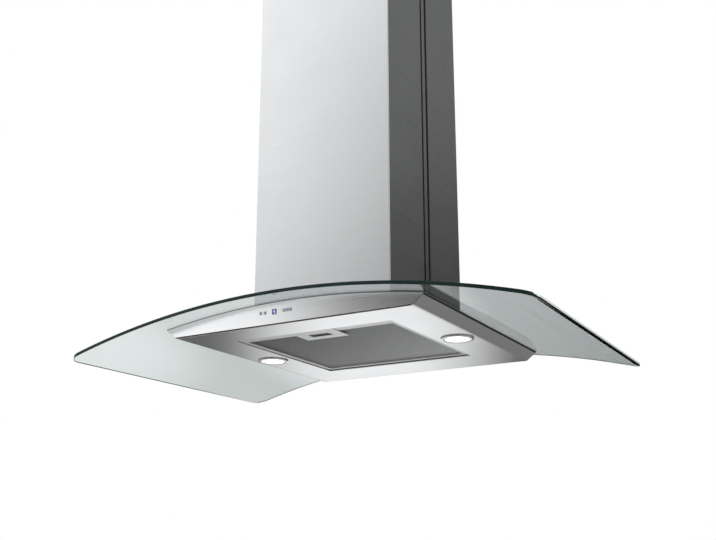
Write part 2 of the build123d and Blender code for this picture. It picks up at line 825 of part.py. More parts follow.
with BuildPart() as control_carrier:
    with BuildSketch(Plane.XZ.offset(-carrier_back)) as carrier_outline:
        with Locations(((carrier_left + carrier_right) / 2, control_z)):
            Rectangle(carrier_right - carrier_left, button_height + 2 * carrier_margin)
        with Locations((display_place, control_z)):
            Rectangle(display_size, display_size, mode=Mode.SUBTRACT)
    extrude(amount=2 * carrier_thickness)
    carrier_bounds = [body_slice(0, body_sheet), body_slice(glass_crown, body_sheet)]
    loft(carrier_bounds, ruled=True, mode=Mode.INTERSECT)
    button_bores = control_plan(
        carrier_back, button_width + 2 * button_gap, button_height + 2 * button_gap, button_corner
    )
    extrude(button_bores, amount=2 * carrier_thickness, mode=Mode.SUBTRACT)
finish(control_carrier, "control_carrier")

for name, place in button_places.items():
    with BuildPart() as button:
        with BuildSketch(Plane.XZ.offset(-button_back)) as button_cap:
            with Locations((place, control_z)):
                RectangleRounded(button_width, button_height, button_corner)
        extrude(amount=2 * carrier_thickness)
        button_bounds = [body_slice(0, -button_proud), body_slice(glass_crown, -button_proud)]
        loft(button_bounds, ruled=True, mode=Mode.INTERSECT)
        with BuildSketch(Plane.XZ.offset(-button_back)) as button_collar:
            with Locations((place, control_z)):
                Rectangle(button_width, button_height + 2 * button_flange)
        extrude(amount=button_flange_thickness)
    finish(button, name)

with BuildPart() as display_window:
    with BuildSketch(Plane.XZ.offset(-carrier_back)) as window_outline:
        with Locations((display_place, control_z)):
            Rectangle(display_size, display_size)
    extrude(amount=2 * carrier_thickness)
    window_bounds = [body_slice(0, display_recess), body_slice(glass_crown, display_recess)]
    loft(window_bounds, ruled=True, mode=Mode.INTERSECT)
finish(display_window, "display_window")

board_height = button_height + 2 * carrier_margin

with BuildPart() as control_board:
    with BuildSketch(Plane.XZ.offset(-board_face)) as board_outline:
        with Locations(((carrier_left + carrier_right) / 2, control_z)):
            Rectangle(carrier_right - carrier_left, board_height)
    extrude(amount=-board_thickness)
    with BuildSketch(Plane.XZ.offset(-board_face)) as board_parts:
        for place in button_places.values():
            with Locations((place, control_z)):
                Rectangle(switch_size, switch_size)
    extrude(amount=switch_depth)
    with BuildSketch(Plane.XZ.offset(-board_face)) as display_block:
        with Locations((display_place, control_z)):
            Rectangle(display_size, display_size)
    extrude(amount=board_face - carrier_back)
    with BuildSketch(Plane.XZ.offset(-board_face)) as board_posts:
        for post_x in (carrier_left + post_size, carrier_right - post_size):
            with Locations((post_x, control_z + board_height / 2 - post_size)):
                Rectangle(post_size, post_size)
    extrude(amount=board_face - carrier_back)
finish(control_board, "control_board")

# ---------------------------------------------------------------------------------------------
# Lower chimney: two folded halves, joint channels, joint strips and the guide at its top

resting_face = below_arch(glass_radius + chimney_seat_gap)

for name, way in (("front", -1), ("rear", 1)):
    with BuildPart() as lower_half:
        extrude(half_tube_plan(base, way, chimney_x, chimney_y, seam_width / 2), amount=chimney_top)
        with BuildSketch(Plane.XY.offset(base)) as seam_returns:
            return_y = way * (seam_width + chimney_sheet) / 2
            for side_way in (-1, 1):
                with Locations((side_way * (chimney_x - seam_depth / 2), return_y)):
                    Rectangle(seam_depth, chimney_sheet)
        extrude(amount=chimney_top)
        extrude(resting_face, amount=glass_depth, both=True, mode=Mode.SUBTRACT)
    finish(lower_half, f"lower_chimney_{name}")

with BuildPart() as seam_channels:
    with BuildSketch(Plane.XY.offset(base)) as channel_section:
        for way in (-1, 1):
            with Locations((way * (channel_back + channel_face) / 2, 0)):
                Rectangle(channel_thickness, channel_width)
            rib_rise = strip_face - seam_strip_thickness - channel_face
            with Locations((way * (channel_face + rib_rise / 2), 0)):
                Rectangle(rib_rise, seam_rib_width)
    extrude(amount=chimney_top)
    extrude(resting_face, amount=glass_depth, both=True, mode=Mode.SUBTRACT)
finish(seam_channels, "seam_channels")

with BuildPart() as seam_strips:
    with BuildSketch(Plane.XY.offset(base)) as strip_section:
        for way in (-1, 1):
            with Locations((way * (strip_face - seam_strip_thickness / 2), 0)):
                Rectangle(seam_strip_thickness, seam_strip_width)
    extrude(amount=chimney_top)
    extrude(resting_face, amount=glass_depth, both=True, mode=Mode.SUBTRACT)
finish(seam_strips, "seam_strips")

with BuildPart() as chimney_guide:
    guide_bottom = base + chimney_top - guide_height
    guide_wall = chimney_in_x - upper_x - guide_gap
    extrude(tube_plan(guide_bottom, chimney_in_x, chimney_in_y, guide_wall), amount=guide_height)
    extrude(seam_notches(guide_bottom, 0), amount=guide_height, mode=Mode.SUBTRACT)
finish(chimney_guide, "chimney_guide")

# ---------------------------------------------------------------------------------------------
# Lower frame: base frame clamped on the glass, four angle uprights and two cross braces

with BuildPart() as base_frame:
    with BuildSketch(Plane.XY.offset(base)) as frame_plan:
        RectangleRounded(2 * chimney_in_x, 2 * chimney_in_y, chimney_bend)
    extrude(amount=glass_crown + pad_thickness + frame_sheet)
    extrude(below_arch(frame_radius), amount=glass_depth, both=True, mode=Mode.INTERSECT)
    flange = tube_plan(base, chimney_in_x, chimney_in_y, frame_sheet)
    extrude(flange, amount=glass_crown + frame_flange)
    extrude(below_arch(pad_radius), amount=glass_depth, both=True, mode=Mode.SUBTRACT)
    extrude(throat(0), amount=arch_reach, mode=Mode.SUBTRACT)
    extrude(glass_bolt_plan(glass_bolt_radius), amount=arch_reach, mode=Mode.SUBTRACT)
    extrude(seam_notches(base, running_gap), amount=2 * glass_crown, mode=Mode.SUBTRACT)
finish(base_frame, "base_frame")

with BuildPart() as lower_uprights:
    extrude(upright_plan(base, lower_upright_x, lower_upright_y), amount=lower_upright_top)
    extrude(below_arch(frame_radius), amount=glass_depth, both=True, mode=Mode.SUBTRACT)
    with BuildSketch(side_plane(0)) as upright_holes:
        with Locations((0, screw_level)):
            with GridLocations(2 * screw_y, 0, 2, 1):
                Circle(height_screw_radius)
    extrude(amount=chimney_x, both=True, mode=Mode.SUBTRACT)
finish(lower_uprights, "lower_uprights")

with BuildPart() as cross_braces:
    for way in (-1, 1):
        with BuildSketch(side_plane(way * lower_upright_x)) as brace_face:
            with Locations((0, base + brace_level + brace_height / 2)):
                Rectangle(2 * lower_upright_y, brace_height)
        extrude(amount=way * brace_thickness)
    clip_x = lower_upright_x - capacitor_radius - clip_wall
    with BuildSketch(Plane.XY.offset(base + brace_level)) as clip_plan:
        with Locations((clip_x, 0)):
            Circle(capacitor_radius + clip_wall)
        with Locations((lower_upright_x, 0)):
            Rectangle(capacitor_radius, capacitor_radius, align=(Align.MAX, Align.CENTER))
        with Locations((clip_x, 0)):
            Circle(capacitor_radius, mode=Mode.SUBTRACT)
    extrude(amount=brace_height)
finish(cross_braces, "cross_braces")

with BuildPart() as height_screws:
    for way in (-1, 1):
        nut_face = lower_upright_x - 2 * upright_thickness - nesting_gap - running_gap
        with BuildSketch(side_plane(way * (nut_face - height_nut))) as screw_shanks:
            with Locations((0, screw_level)):
                with GridLocations(2 * screw_y, 0, 2, 1):
                    Circle(height_screw_radius)
        extrude(amount=way * (lower_upright_x + height_screw_head - nut_face + height_nut))
        with BuildSketch(side_plane(way * lower_upright_x)) as screw_heads:
            with Locations((0, screw_level)):
                with GridLocations(2 * screw_y, 0, 2, 1):
                    Circle(height_screw_head_radius)
        extrude(amount=way * height_screw_head)
        with BuildSketch(side_plane(way * nut_face)) as nut_section:
            with Locations((0, screw_level)):
                with GridLocations(2 * screw_y, 0, 2, 1):
                    RegularPolygon(height_nut_radius, 6)
                    Circle(height_screw_radius + thread_gap, mode=Mode.SUBTRACT)
        extrude(amount=-way * height_nut)
finish(height_screws, "height_screws")

# ---------------------------------------------------------------------------------------------
# Ceiling side: plate, slotted uprights, upper chimney and its screws

with BuildPart() as ceiling_plate:
    with BuildSketch(Plane.XY) as plate_plan:
        RectangleRounded(2 * upper_in_x, 2 * upper_in_y, chimney_bend)
        Circle(ceiling_duct_radius, mode=Mode.SUBTRACT)
        with GridLocations(ceiling_hole_spacing, ceiling_hole_spacing, 2, 2):
            Circle(ceiling_hole_radius, mode=Mode.SUBTRACT)
        with Locations((gland_x, 0)):
            Circle(cable_hole_radius, mode=Mode.SUBTRACT)
    extrude(amount=-plate_thickness)
    extrude(tube_plan(0, upper_in_x, upper_in_y, plate_flange_thickness), amount=-plate_flange)
    with BuildSketch(side_plane(0)) as flange_holes:
        with Locations((0, -plate_screw_drop)):
            with GridLocations(plate_screw_spacing, 0, 2, 1):
                Circle(plate_screw_radius)
    extrude(amount=chimney_x, both=True, mode=Mode.SUBTRACT)
finish(ceiling_plate, "ceiling_plate")

with BuildPart() as upper_uprights:
    upright_length = -plate_thickness - upper_upright_bottom
    extrude(upright_plan(-plate_thickness, upper_upright_x, upper_upright_y), amount=-upright_length)
    with BuildSketch(side_plane(0)) as height_slots:
        with Locations((0, (slot_top + slot_bottom) / 2)):
            with GridLocations(2 * screw_y, 0, 2, 1):
                SlotOverall(slot_top - slot_bottom, slot_width, rotation=90)
    extrude(amount=chimney_x, both=True, mode=Mode.SUBTRACT)
finish(upper_uprights, "upper_uprights")

for name, way in (("front", -1), ("rear", 1)):
    with BuildPart() as upper_half:
        upper_section = half_tube_plan(upper_bottom, way, upper_x, upper_y, upper_joint_gap / 2)
        extrude(upper_section, amount=-ceiling_gap - upper_bottom)
        with BuildSketch(side_plane(0)) as upper_holes:
            with Locations((0, -plate_screw_drop)):
                with GridLocations(plate_screw_spacing, 0, 2, 1):
                    Circle(plate_screw_radius)
        extrude(amount=chimney_x, both=True, mode=Mode.SUBTRACT)
    finish(upper_half, f"upper_chimney_{name}")

with BuildPart() as upper_screws:
    for way in (-1, 1):
        with BuildSketch(side_plane(way * (upper_in_x - plate_flange_thickness))) as plate_shanks:
            with Locations((0, -plate_screw_drop)):
                with GridLocations(plate_screw_spacing, 0, 2, 1):
                    Circle(plate_screw_radius)
        extrude(amount=way * (plate_flange_thickness + chimney_sheet))
        with BuildSketch(side_plane(way * upper_x)) as plate_heads:
            with Locations((0, -plate_screw_drop)):
                with GridLocations(plate_screw_spacing, 0, 2, 1):
                    Circle(2 * plate_screw_radius)
        extrude(amount=way * plate_screw_head)
finish(upper_screws, "upper_screws")

# ---------------------------------------------------------------------------------------------
# Blower: rails, two-part scroll housing, impeller on its shaft, motor on its bracket

foot_places = [fan_offset - foot_spacing / 2, fan_offset + foot_spacing / 2]


def foot_plan(level, way, radius):
    """Plan of the two screw places in one housing half's feet."""
    with BuildSketch(Plane.XY.offset(level)) as plan:
        for foot_y in foot_places:
            with Locations((way * rail_offset, foot_y)):
                Circle(radius)
    return plan.sketch


with BuildPart() as blower_rails:
    rail_length = 2 * (chimney_in_y - 2 * frame_sheet)
    for way in (-1, 1):
        with BuildSketch(Plane.XZ) as rail_section:
            with Locations((way * rail_offset, rail_top)):
                Rectangle(rail_width, 2 * rail_height, align=(Align.CENTER, Align.MAX))
            with Locations((way * rail_offset, rail_top - rail_thickness)):
                hollow_width = rail_width - 2 * rail_thickness
                Rectangle(
                    hollow_width, 2 * rail_height, align=(Align.CENTER, Align.MAX), mode=Mode.SUBTRACT
                )
        extrude(amount=rail_length / 2, both=True)
        rail_holes = foot_plan(rail_top - rail_thickness, way, blower_screw_radius + running_gap)
        extrude(rail_holes, amount=rail_thickness, mode=Mode.SUBTRACT)
    extrude(below_arch(frame_radius), amount=glass_depth, both=True, mode=Mode.SUBTRACT)
finish(blower_rails, "blower_rails")

for name, way in (("left", -1), ("right", 1)):
    with BuildPart() as housing:
        extrude(scroll_outline(0, scroll_top), amount=way * scroll_half)
        with BuildSketch(Plane.XY.offset(rail_top)) as feet:
            for foot_y in foot_places:
                with Locations((way * rail_offset, foot_y)):
                    Rectangle(rail_width, foot_width)
        extrude(amount=fan_z - rail_top - impeller_radius)
        scroll_hollow = scroll_outline(scroll_wall, scroll_top + scroll_wall)
        extrude(scroll_hollow, amount=way * (scroll_half - scroll_wall), mode=Mode.SUBTRACT)
        with BuildSketch(side_plane(way * scroll_half)) as inlet:
            with Locations((fan_offset, fan_z)):
                Circle(inlet_radius)
        extrude(amount=-way * scroll_wall, mode=Mode.SUBTRACT)
        foot_bores = foot_plan(rail_top, way, blower_screw_radius)
        extrude(foot_bores, amount=foot_width / 2, mode=Mode.SUBTRACT)
        if name == "right":
            with BuildSketch(side_plane(scroll_half)) as bracket_bores:
                with Locations((fan_offset, fan_z)):
                    with PolarLocations(inlet_radius + bracket_rim / 2, bracket_arms):
                        Circle(bracket_screw_radius)
            extrude(amount=-scroll_wall, mode=Mode.SUBTRACT)
    finish(housing, f"blower_housing_{name}")

with BuildPart() as blower_screws:
    for way in (-1, 1):
        head_level = rail_top - rail_thickness
        extrude(foot_plan(head_level, way, blower_screw_radius), amount=rail_thickness + foot_width / 2)
        extrude(foot_plan(head_level, way, blower_screw_head), amount=-rail_thickness)
finish(blower_screws, "blower_screws")

with BuildPart() as impeller:
    half_width = impeller_width / 2
    with BuildSketch(side_plane(-half_width)) as blades:
        with Locations((fan_offset, fan_z)):
            with PolarLocations(impeller_radius - blade_depth / 2 - blade_thickness / 2, impeller_blades):
                Rectangle(blade_depth, blade_thickness, rotation=blade_angle)
    extrude(amount=impeller_width)
    for ring_x in (-half_width, half_width - impeller_disc):
        with BuildSketch(side_plane(ring_x)) as end_ring:
            with Locations((fan_offset, fan_z)):
                Circle(impeller_radius)
                Circle(impeller_radius - blade_depth, mode=Mode.SUBTRACT)
        extrude(amount=impeller_disc)
    with BuildSketch(side_plane(-impeller_disc / 2)) as middle_disc:
        with Locations((fan_offset, fan_z)):
            Circle(impeller_radius)
    extrude(amount=impeller_disc)
    with BuildSketch(side_plane(-impeller_disc / 2)) as hub_section:
        with Locations((fan_offset, fan_z)):
            Circle(hub_radius)
    extrude(amount=-hub_length)
    with BuildSketch(side_plane(0)) as hub_bore:
        with Locations((fan_offset, fan_z)):
            Circle(shaft_radius)
    extrude(amount=impeller_width, both=True, mode=Mode.SUBTRACT)
finish(impeller, "impeller")

motor_face = impeller_disc / 2 + motor_clearance
shaft_end = scroll_half / 2

with BuildPart() as motor_shaft:
    with BuildSketch(side_plane(-impeller_disc / 2 - hub_length)) as shaft_section:
        with Locations((fan_offset, fan_z)):
            Circle(shaft_radius)
    extrude(amount=shaft_end + impeller_disc / 2 + hub_length)
finish(motor_shaft, "motor_shaft")

with BuildPart() as motor:
    with BuildSketch(side_plane(motor_face)) as motor_section:
        with Locations((fan_offset, fan_z)):
            Circle(motor_radius)
    extrude(amount=scroll_half - motor_face)
    chamfer(motor.edges().filter_by(GeomType.CIRCLE).sort_by(Axis.X)[0], motor_clearance)
    with BuildSketch(side_plane(motor_face)) as bearing_bore:
        with Locations((fan_offset, fan_z)):
            Circle(shaft_radius + shaft_gap)
    extrude(amount=shaft_end - motor_face + running_gap, mode=Mode.SUBTRACT)
finish(motor, "motor")

with BuildPart() as motor_bracket:
    with BuildSketch(side_plane(scroll_half)) as bracket_plan:
        with Locations((fan_offset, fan_z)):
            Circle(inlet_radius + bracket_rim)
            Circle(inlet_radius, mode=Mode.SUBTRACT)
            Circle(motor_radius)
            with PolarLocations((motor_radius + inlet_radius) / 2, bracket_arms):
                Rectangle(inlet_radius - motor_radius + bracket_rim, bracket_arm_width)
            with PolarLocations(inlet_radius + bracket_rim / 2, bracket_arms):
                Circle(bracket_screw_radius, mode=Mode.SUBTRACT)
    extrude(amount=bracket_thickness)
finish(motor_bracket, "motor_bracket")

with BuildPart() as bracket_screws:
    bracket_face = scroll_half + bracket_thickness
    for screw_x, screw_length, radius in (
        (bracket_face, -bracket_thickness - scroll_wall, bracket_screw_radius),
        (bracket_face, bracket_screw_head, 2 * bracket_screw_radius),
    ):
        with BuildSketch(side_plane(screw_x)) as screw_section:
            with Locations((fan_offset, fan_z)):
                with PolarLocations(inlet_radius + bracket_rim / 2, bracket_arms):
                    Circle(radius)
        extrude(amount=screw_length)
finish(bracket_screws, "bracket_screws")

# ---------------------------------------------------------------------------------------------
# Outlet adaptor, duct collar and two non-return flaps

with BuildPart() as outlet_adaptor:
    with BuildSketch(Plane.XY.offset(scroll_top)) as adaptor_inlet:
        with Locations((0, outlet_y)):
            Rectangle(scroll_width, outlet_depth)
    with BuildSketch(Plane.XY.offset(adaptor_top)) as adaptor_outlet:
        Circle(collar_radius)
    loft()
    with BuildSketch(Plane.XY.offset(scroll_top)) as inlet_hollow:
        with Locations((0, outlet_y)):
            Rectangle(scroll_width - 2 * scroll_wall, outlet_depth - 2 * scroll_wall)
    with BuildSketch(Plane.XY.offset(adaptor_top)) as outlet_hollow:
        Circle(collar_radius - collar_wall)
    loft(mode=Mode.SUBTRACT)
finish(outlet_adaptor, "outlet_adaptor")

flap_z = adaptor_top + flap_level
flap_radius = collar_radius - collar_wall - flap_gap
barrel_radius = flap_pivot_radius + flap_barrel_wall
ledge_top = flap_z - flap_thickness / 2 - shaft_gap

with BuildPart() as duct_collar:
    with BuildSketch(Plane.XY.offset(adaptor_top)) as collar_ring:
        Circle(collar_radius)
        Circle(collar_radius - collar_wall, mode=Mode.SUBTRACT)
    extrude(amount=collar_height)
    with BuildSketch(Plane.XY.offset(ledge_top)) as ledge_ring:
        Circle(collar_radius - collar_wall / 2)
        Circle(collar_radius - collar_wall - flap_ledge, mode=Mode.SUBTRACT)
        Rectangle(2 * collar_radius, flap_pivot_spacing + 4 * barrel_radius, mode=Mode.SUBTRACT)
    extrude(amount=-collar_wall)
    with BuildSketch(side_plane(0)) as pivot_bores:
        with Locations((0, flap_z)):
            with GridLocations(flap_pivot_spacing, 0, 2, 1):
                Circle(flap_pivot_radius + shaft_gap)
    extrude(amount=collar_radius, both=True, mode=Mode.SUBTRACT)
finish(duct_collar, "duct_collar")

for name, way in (("front", -1), ("rear", 1)):
    with BuildPart() as flap:
        pivot_place = way * flap_pivot_spacing / 2
        with BuildSketch(Plane.XY.offset(flap_z - flap_thickness / 2)) as flap_plan:
            Circle(flap_radius)
            with Locations((0, pivot_place + way * flap_radius)):
                Rectangle(2 * flap_radius, 2 * flap_radius, mode=Mode.INTERSECT)
        extrude(amount=flap_thickness)
        barrel_half = math.sqrt(flap_radius**2 - (flap_pivot_spacing / 2 + barrel_radius) ** 2) - flap_gap
        pivot_half = collar_radius - flap_gap
        for radius, half_length in ((barrel_radius, barrel_half), (flap_pivot_radius, pivot_half)):
            with BuildSketch(side_plane(0)) as barrel:
                with Locations((pivot_place, flap_z)):
                    Circle(radius)
            extrude(amount=half_length, both=True)
    finish(flap, f"{name}_flap")

# ---------------------------------------------------------------------------------------------
# Terminal box on the left brace, capacitor in the clip of the right one

box_bottom = base + brace_level - brace_height
box_mid_z = box_bottom + box_height / 2

with BuildPart() as terminal_box:
    with BuildSketch(side_plane(box_back)) as box_outline:
        with Locations((0, box_mid_z)):
            RectangleRounded(box_width, box_height, box_wall)
    extrude(amount=box_depth - box_wall)
    with BuildSketch(side_plane(box_back + box_wall)) as box_hollow:
        with Locations((0, box_mid_z)):
            Rectangle(box_width - 2 * box_wall, box_height - 2 * box_wall)
    extrude(amount=box_depth, mode=Mode.SUBTRACT)
    with BuildSketch(Plane.XY.offset(box_bottom)) as gland_holes:
        with Locations((gland_x, 0)):
            Circle(gland_bore)
    extrude(amount=box_height, mode=Mode.SUBTRACT)
finish(terminal_box, "terminal_box")

with BuildPart() as terminal_lid:
    with BuildSketch(side_plane(box_back + box_depth - box_wall)) as lid_outline:
        with Locations((0, box_mid_z)):
            RectangleRounded(box_width, box_height, box_wall)
    extrude(amount=box_wall)
    fillet(terminal_lid.faces().sort_by(Axis.X)[-1].edges(), box_wall / 2)
finish(terminal_lid, "terminal_lid")

with BuildPart() as mains_gland:
    with BuildSketch(Plane.XY.offset(box_bottom + box_height)) as gland_section:
        with Locations((gland_x, 0)):
            Circle(gland_radius)
            Circle(gland_bore, mode=Mode.SUBTRACT)
    extrude(amount=gland_length)
    with BuildSketch(Plane.XY.offset(box_bottom + box_height)) as gland_hexagon:
        with Locations((gland_x, 0)):
            RegularPolygon(gland_radius + box_wall, 6)
            Circle(gland_bore, mode=Mode.SUBTRACT)
    extrude(amount=gland_nut)
finish(mains_gland, "mains_gland")

with BuildPart() as run_capacitor:
    can_bottom = base + brace_level + (brace_height - capacitor_length) / 2
    with BuildSketch(Plane.XY.offset(can_bottom)) as can_section:
        with Locations((clip_x, 0)):
            Circle(capacitor_radius)
    extrude(amount=capacitor_length)
    fillet(run_capacitor.edges().filter_by(GeomType.CIRCLE), 2 * clip_wall)
    with BuildSketch(Plane.XY.offset(can_bottom + capacitor_length)) as tags:
        with Locations((clip_x, 0)):
            with GridLocations(capacitor_radius / 2, 0, 2, 1):
                Rectangle(clip_wall, capacitor_radius / 2)
    extrude(amount=capacitor_radius / 2)
finish(run_capacitor, "run_capacitor")
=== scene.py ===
"""Curved glass range hood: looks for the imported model, with a pale studio and the photograph's camera."""

import math

import bmesh
import bpy
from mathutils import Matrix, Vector


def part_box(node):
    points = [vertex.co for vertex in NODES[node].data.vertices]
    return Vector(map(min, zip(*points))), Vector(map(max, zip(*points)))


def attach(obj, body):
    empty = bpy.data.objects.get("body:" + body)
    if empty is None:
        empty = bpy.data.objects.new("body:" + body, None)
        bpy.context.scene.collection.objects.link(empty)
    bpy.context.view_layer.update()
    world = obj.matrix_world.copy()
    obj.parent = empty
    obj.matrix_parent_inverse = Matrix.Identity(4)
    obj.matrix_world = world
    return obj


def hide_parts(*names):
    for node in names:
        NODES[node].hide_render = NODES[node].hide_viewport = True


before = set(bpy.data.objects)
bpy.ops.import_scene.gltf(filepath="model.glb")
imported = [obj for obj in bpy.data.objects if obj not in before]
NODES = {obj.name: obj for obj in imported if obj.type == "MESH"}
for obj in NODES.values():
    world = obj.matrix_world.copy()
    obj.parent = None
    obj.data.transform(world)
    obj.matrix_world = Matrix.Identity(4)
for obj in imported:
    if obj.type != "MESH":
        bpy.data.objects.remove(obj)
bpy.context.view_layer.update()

# ---------------------------------------------------------------------------------------------
# Sizes in metres, read from the CAD nodes where they carry them

MM = 0.001
glass_low, glass_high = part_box("canopy_glass")
GLASS_THICKNESS = 6 * MM
GLASS_WIDTH = glass_high.x - glass_low.x
GLASS_DEPTH = glass_high.y - glass_low.y
GLASS_SAG = 65 * MM
GLASS_RADIUS = (GLASS_WIDTH**2 / 4 + GLASS_SAG**2) / (2 * GLASS_SAG)
BEND_AXIS = glass_high.z - GLASS_RADIUS
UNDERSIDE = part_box("underside_panel")[0].z

# Points closer than these count as one: between parts of a piece, and where a plane cuts one
DOUBLE_POINTS = 1e-7
CUT_TOLERANCE = 1e-6

# ---------------------------------------------------------------------------------------------
# Mesh helpers


def link(name, mesh, smooth=True):
    """A mesh as an object in the scene."""
    obj = bpy.data.objects.new(name, mesh)
    bpy.context.scene.collection.objects.link(obj)
    for polygon in mesh.polygons:
        polygon.use_smooth = smooth
    return obj


def new_object(name, verts, faces, smooth=True):
    """An object from a list of vertices and a list of faces."""
    mesh = bpy.data.meshes.new(name)
    mesh.from_pydata([tuple(v) for v in verts], [], faces)
    mesh.validate()
    return link(name, mesh, smooth)


def from_bmesh(name, bm):
    """An object from an edited mesh, which is used up."""
    bmesh.ops.recalc_face_normals(bm, faces=bm.faces)
    mesh = bpy.data.meshes.new(name)
    bm.to_mesh(mesh)
    bm.free()
    return link(name, mesh)


def sharpen(obj, angle):
    """Keeps smooth shading crisp where faces meet at more than an angle."""
    bm = bmesh.new()
    bm.from_mesh(obj.data)
    for edge in bm.edges:
        edge.smooth = len(edge.link_faces) == 2 and edge.calc_face_angle(0) < math.radians(angle)
    bm.to_mesh(obj.data)
    bm.free()


def gathered(parts):
    """One list of vertices and one of faces from several such pairs."""
    verts, faces = [], []
    for part_verts, part_faces in parts:
        start = len(verts)
        verts += part_verts
        faces += [tuple(start + i for i in face) for face in part_faces]
    return verts, faces


def joined(name, parts, smooth=True):
    """One object from several lists of vertices and faces, with its double points merged."""
    obj = new_object(name, *gathered(parts), smooth)
    bm = bmesh.new()
    bm.from_mesh(obj.data)
    bmesh.ops.remove_doubles(bm, verts=bm.verts, dist=DOUBLE_POINTS)
    bmesh.ops.recalc_face_normals(bm, faces=bm.faces)
    bm.to_mesh(obj.data)
    bm.free()
    return obj


def cut(bm, point, normal):
    """New edges where a plane crosses the mesh."""
    geometry = bm.verts[:] + bm.edges[:] + bm.faces[:]
    bmesh.ops.bisect_plane(bm, geom=geometry, plane_co=point, plane_no=normal, dist=CUT_TOLERANCE)


def circle(x, y, radius, steps):
    """Points of a circle in the plane."""
    angles = [2 * math.pi * k / steps for k in range(steps)]
    return [(x + radius * math.cos(angle), y + radius * math.sin(angle)) for angle in angles]


def rounded_outline(half_x, half_y, corner, steps=6):
    """Points of a rectangle with round corners in the plane."""
    points = []
    for quarter, (sign_x, sign_y) in enumerate(((1, 1), (-1, 1), (-1, -1), (1, -1))):
        for k in range(steps + 1):
            angle = math.pi / 2 * (quarter + k / steps)
            x = sign_x * (half_x - corner) + corner * math.cos(angle)
            y = sign_y * (half_y - corner) + corner * math.sin(angle)
            points.append((x, y))
    return points


def prism_faces(count):
    """Faces of a prism, whose vertices are an outline of some count and the same outline further on."""
    faces = [tuple(range(count)), tuple(range(2 * count - 1, count - 1, -1))]
    faces += [(k, (k + 1) % count, count + (k + 1) % count, count + k) for k in range(count)]
    return faces


def lathe(profile, centre, steps, axis="z", way=1):
    """Vertices and faces of a closed profile of (radius, along) turned about Z or X through a centre."""
    verts, faces = [], []
    count = len(profile)
    for step in range(steps):
        angle = 2 * math.pi * step / steps
        cosine, sine = math.cos(angle), math.sin(angle)
        for radius, along in profile:
            if axis == "z":
                offset = Vector((radius * cosine, radius * sine, way * along))
            else:
                offset = Vector((way * along, radius * cosine, radius * sine))
            verts.append(Vector(centre) + offset)
    for step in range(steps):
        after = (step + 1) % steps
        for k in range(count):
            k2 = (k + 1) % count
            faces.append((step * count + k, step * count + k2, after * count + k2, after * count + k))
    return verts, faces


def pillow(centre, half_x, half_z, corner, y_back, y_front, crown):
    """A button cap that points to -Y: rounded plan, rounded rim and a crowned face."""
    rim_steps = 5
    rim_depth, rim_drop, rim_inset = crown * 1.6, crown * 0.25, corner * 0.75
    rings = [(0, y_back), (0, y_front + rim_depth)]
    for k in range(1, rim_steps + 1):
        angle = math.pi / 2 * k / rim_steps
        inset = rim_inset * (1 - math.cos(angle))
        rings.append((inset, y_front + rim_depth * (1 - math.sin(angle)) + rim_drop))
    verts, faces = [], []
    count = 0
    for inset, y in rings:
        ring = rounded_outline(half_x - inset, half_z - inset, max(corner - inset, corner * 0.2))
        count = len(ring)
        verts += [Vector((centre[0] + x, y, centre[1] + z)) for x, z in ring]
    for r in range(len(rings) - 1):
        for k in range(count):
            k2 = (k + 1) % count
            faces.append((r * count + k, r * count + k2, (r + 1) * count + k2, (r + 1) * count + k))
    faces.append(tuple(range(count)))
    tip = len(verts)
    verts.append(Vector((centre[0], y_front, centre[1])))
    last = (len(rings) - 1) * count
    for k in range(count):
        faces.append((last + k, last + (k + 1) % count, tip))
    return verts, faces


def flat_plate(loops, thickness, bevel):
    """A level plate from an outline and its holes, with its edges broken by a bevel."""
    curve = bpy.data.curves.new("plate", "CURVE")
    curve.dimensions = "2D"
    curve.fill_mode = "BOTH"
    curve.extrude = thickness / 2 - bevel
    curve.bevel_depth = bevel
    curve.bevel_resolution = 1
    curve.offset = -bevel
    for loop in loops:
        spline = curve.splines.new("POLY")
        spline.points.add(len(loop) - 1)
        for point, (x, y) in zip(spline.points, loop):
            point.co = (x, y, 0, 1)
        spline.use_cyclic_u = True
    holder = bpy.data.objects.new("plate", curve)
    bpy.context.scene.collection.objects.link(holder)
    mesh = bpy.data.meshes.new_from_object(holder)
    bpy.data.objects.remove(holder)
    bpy.data.curves.remove(curve)
    return mesh


# ---------------------------------------------------------------------------------------------
# Materials


def material(name, colour, roughness=0.5, metallic=0.0, **sockets):
    """A material and its shader. A socket of two or more words is written with _ between them."""
    mat = bpy.data.materials.new(name)
    mat.use_nodes = True
    shader = mat.node_tree.nodes["Principled BSDF"]
    shader.inputs["Base Color"].default_value = (*colour, 1)
    shader.inputs["Roughness"].default_value = roughness
    shader.inputs["Metallic"].default_value = metallic
    for key, value in sockets.items():
        shader.inputs[key.replace("_", " ")].default_value = value
    return mat, shader


def grain(mat, scale, detail=4.0, roughness=0.6):
    """A noise texture on the piece's own coordinates, stretched by a scale along each axis."""
    nodes, links = mat.node_tree.nodes, mat.node_tree.links
    coordinates = nodes.new("ShaderNodeTexCoord")
    mapping = nodes.new("ShaderNodeMapping")
    mapping.inputs["Scale"].default_value = scale
    noise = nodes.new("ShaderNodeTexNoise")
    noise.inputs["Scale"].default_value = 1.0
    noise.inputs["Detail"].default_value = detail
    noise.inputs["Roughness"].default_value = roughness
    links.new(coordinates.outputs["Object"], mapping.inputs["Vector"])
    links.new(mapping.outputs["Vector"], noise.inputs["Vector"])
    return noise.outputs["Fac"]


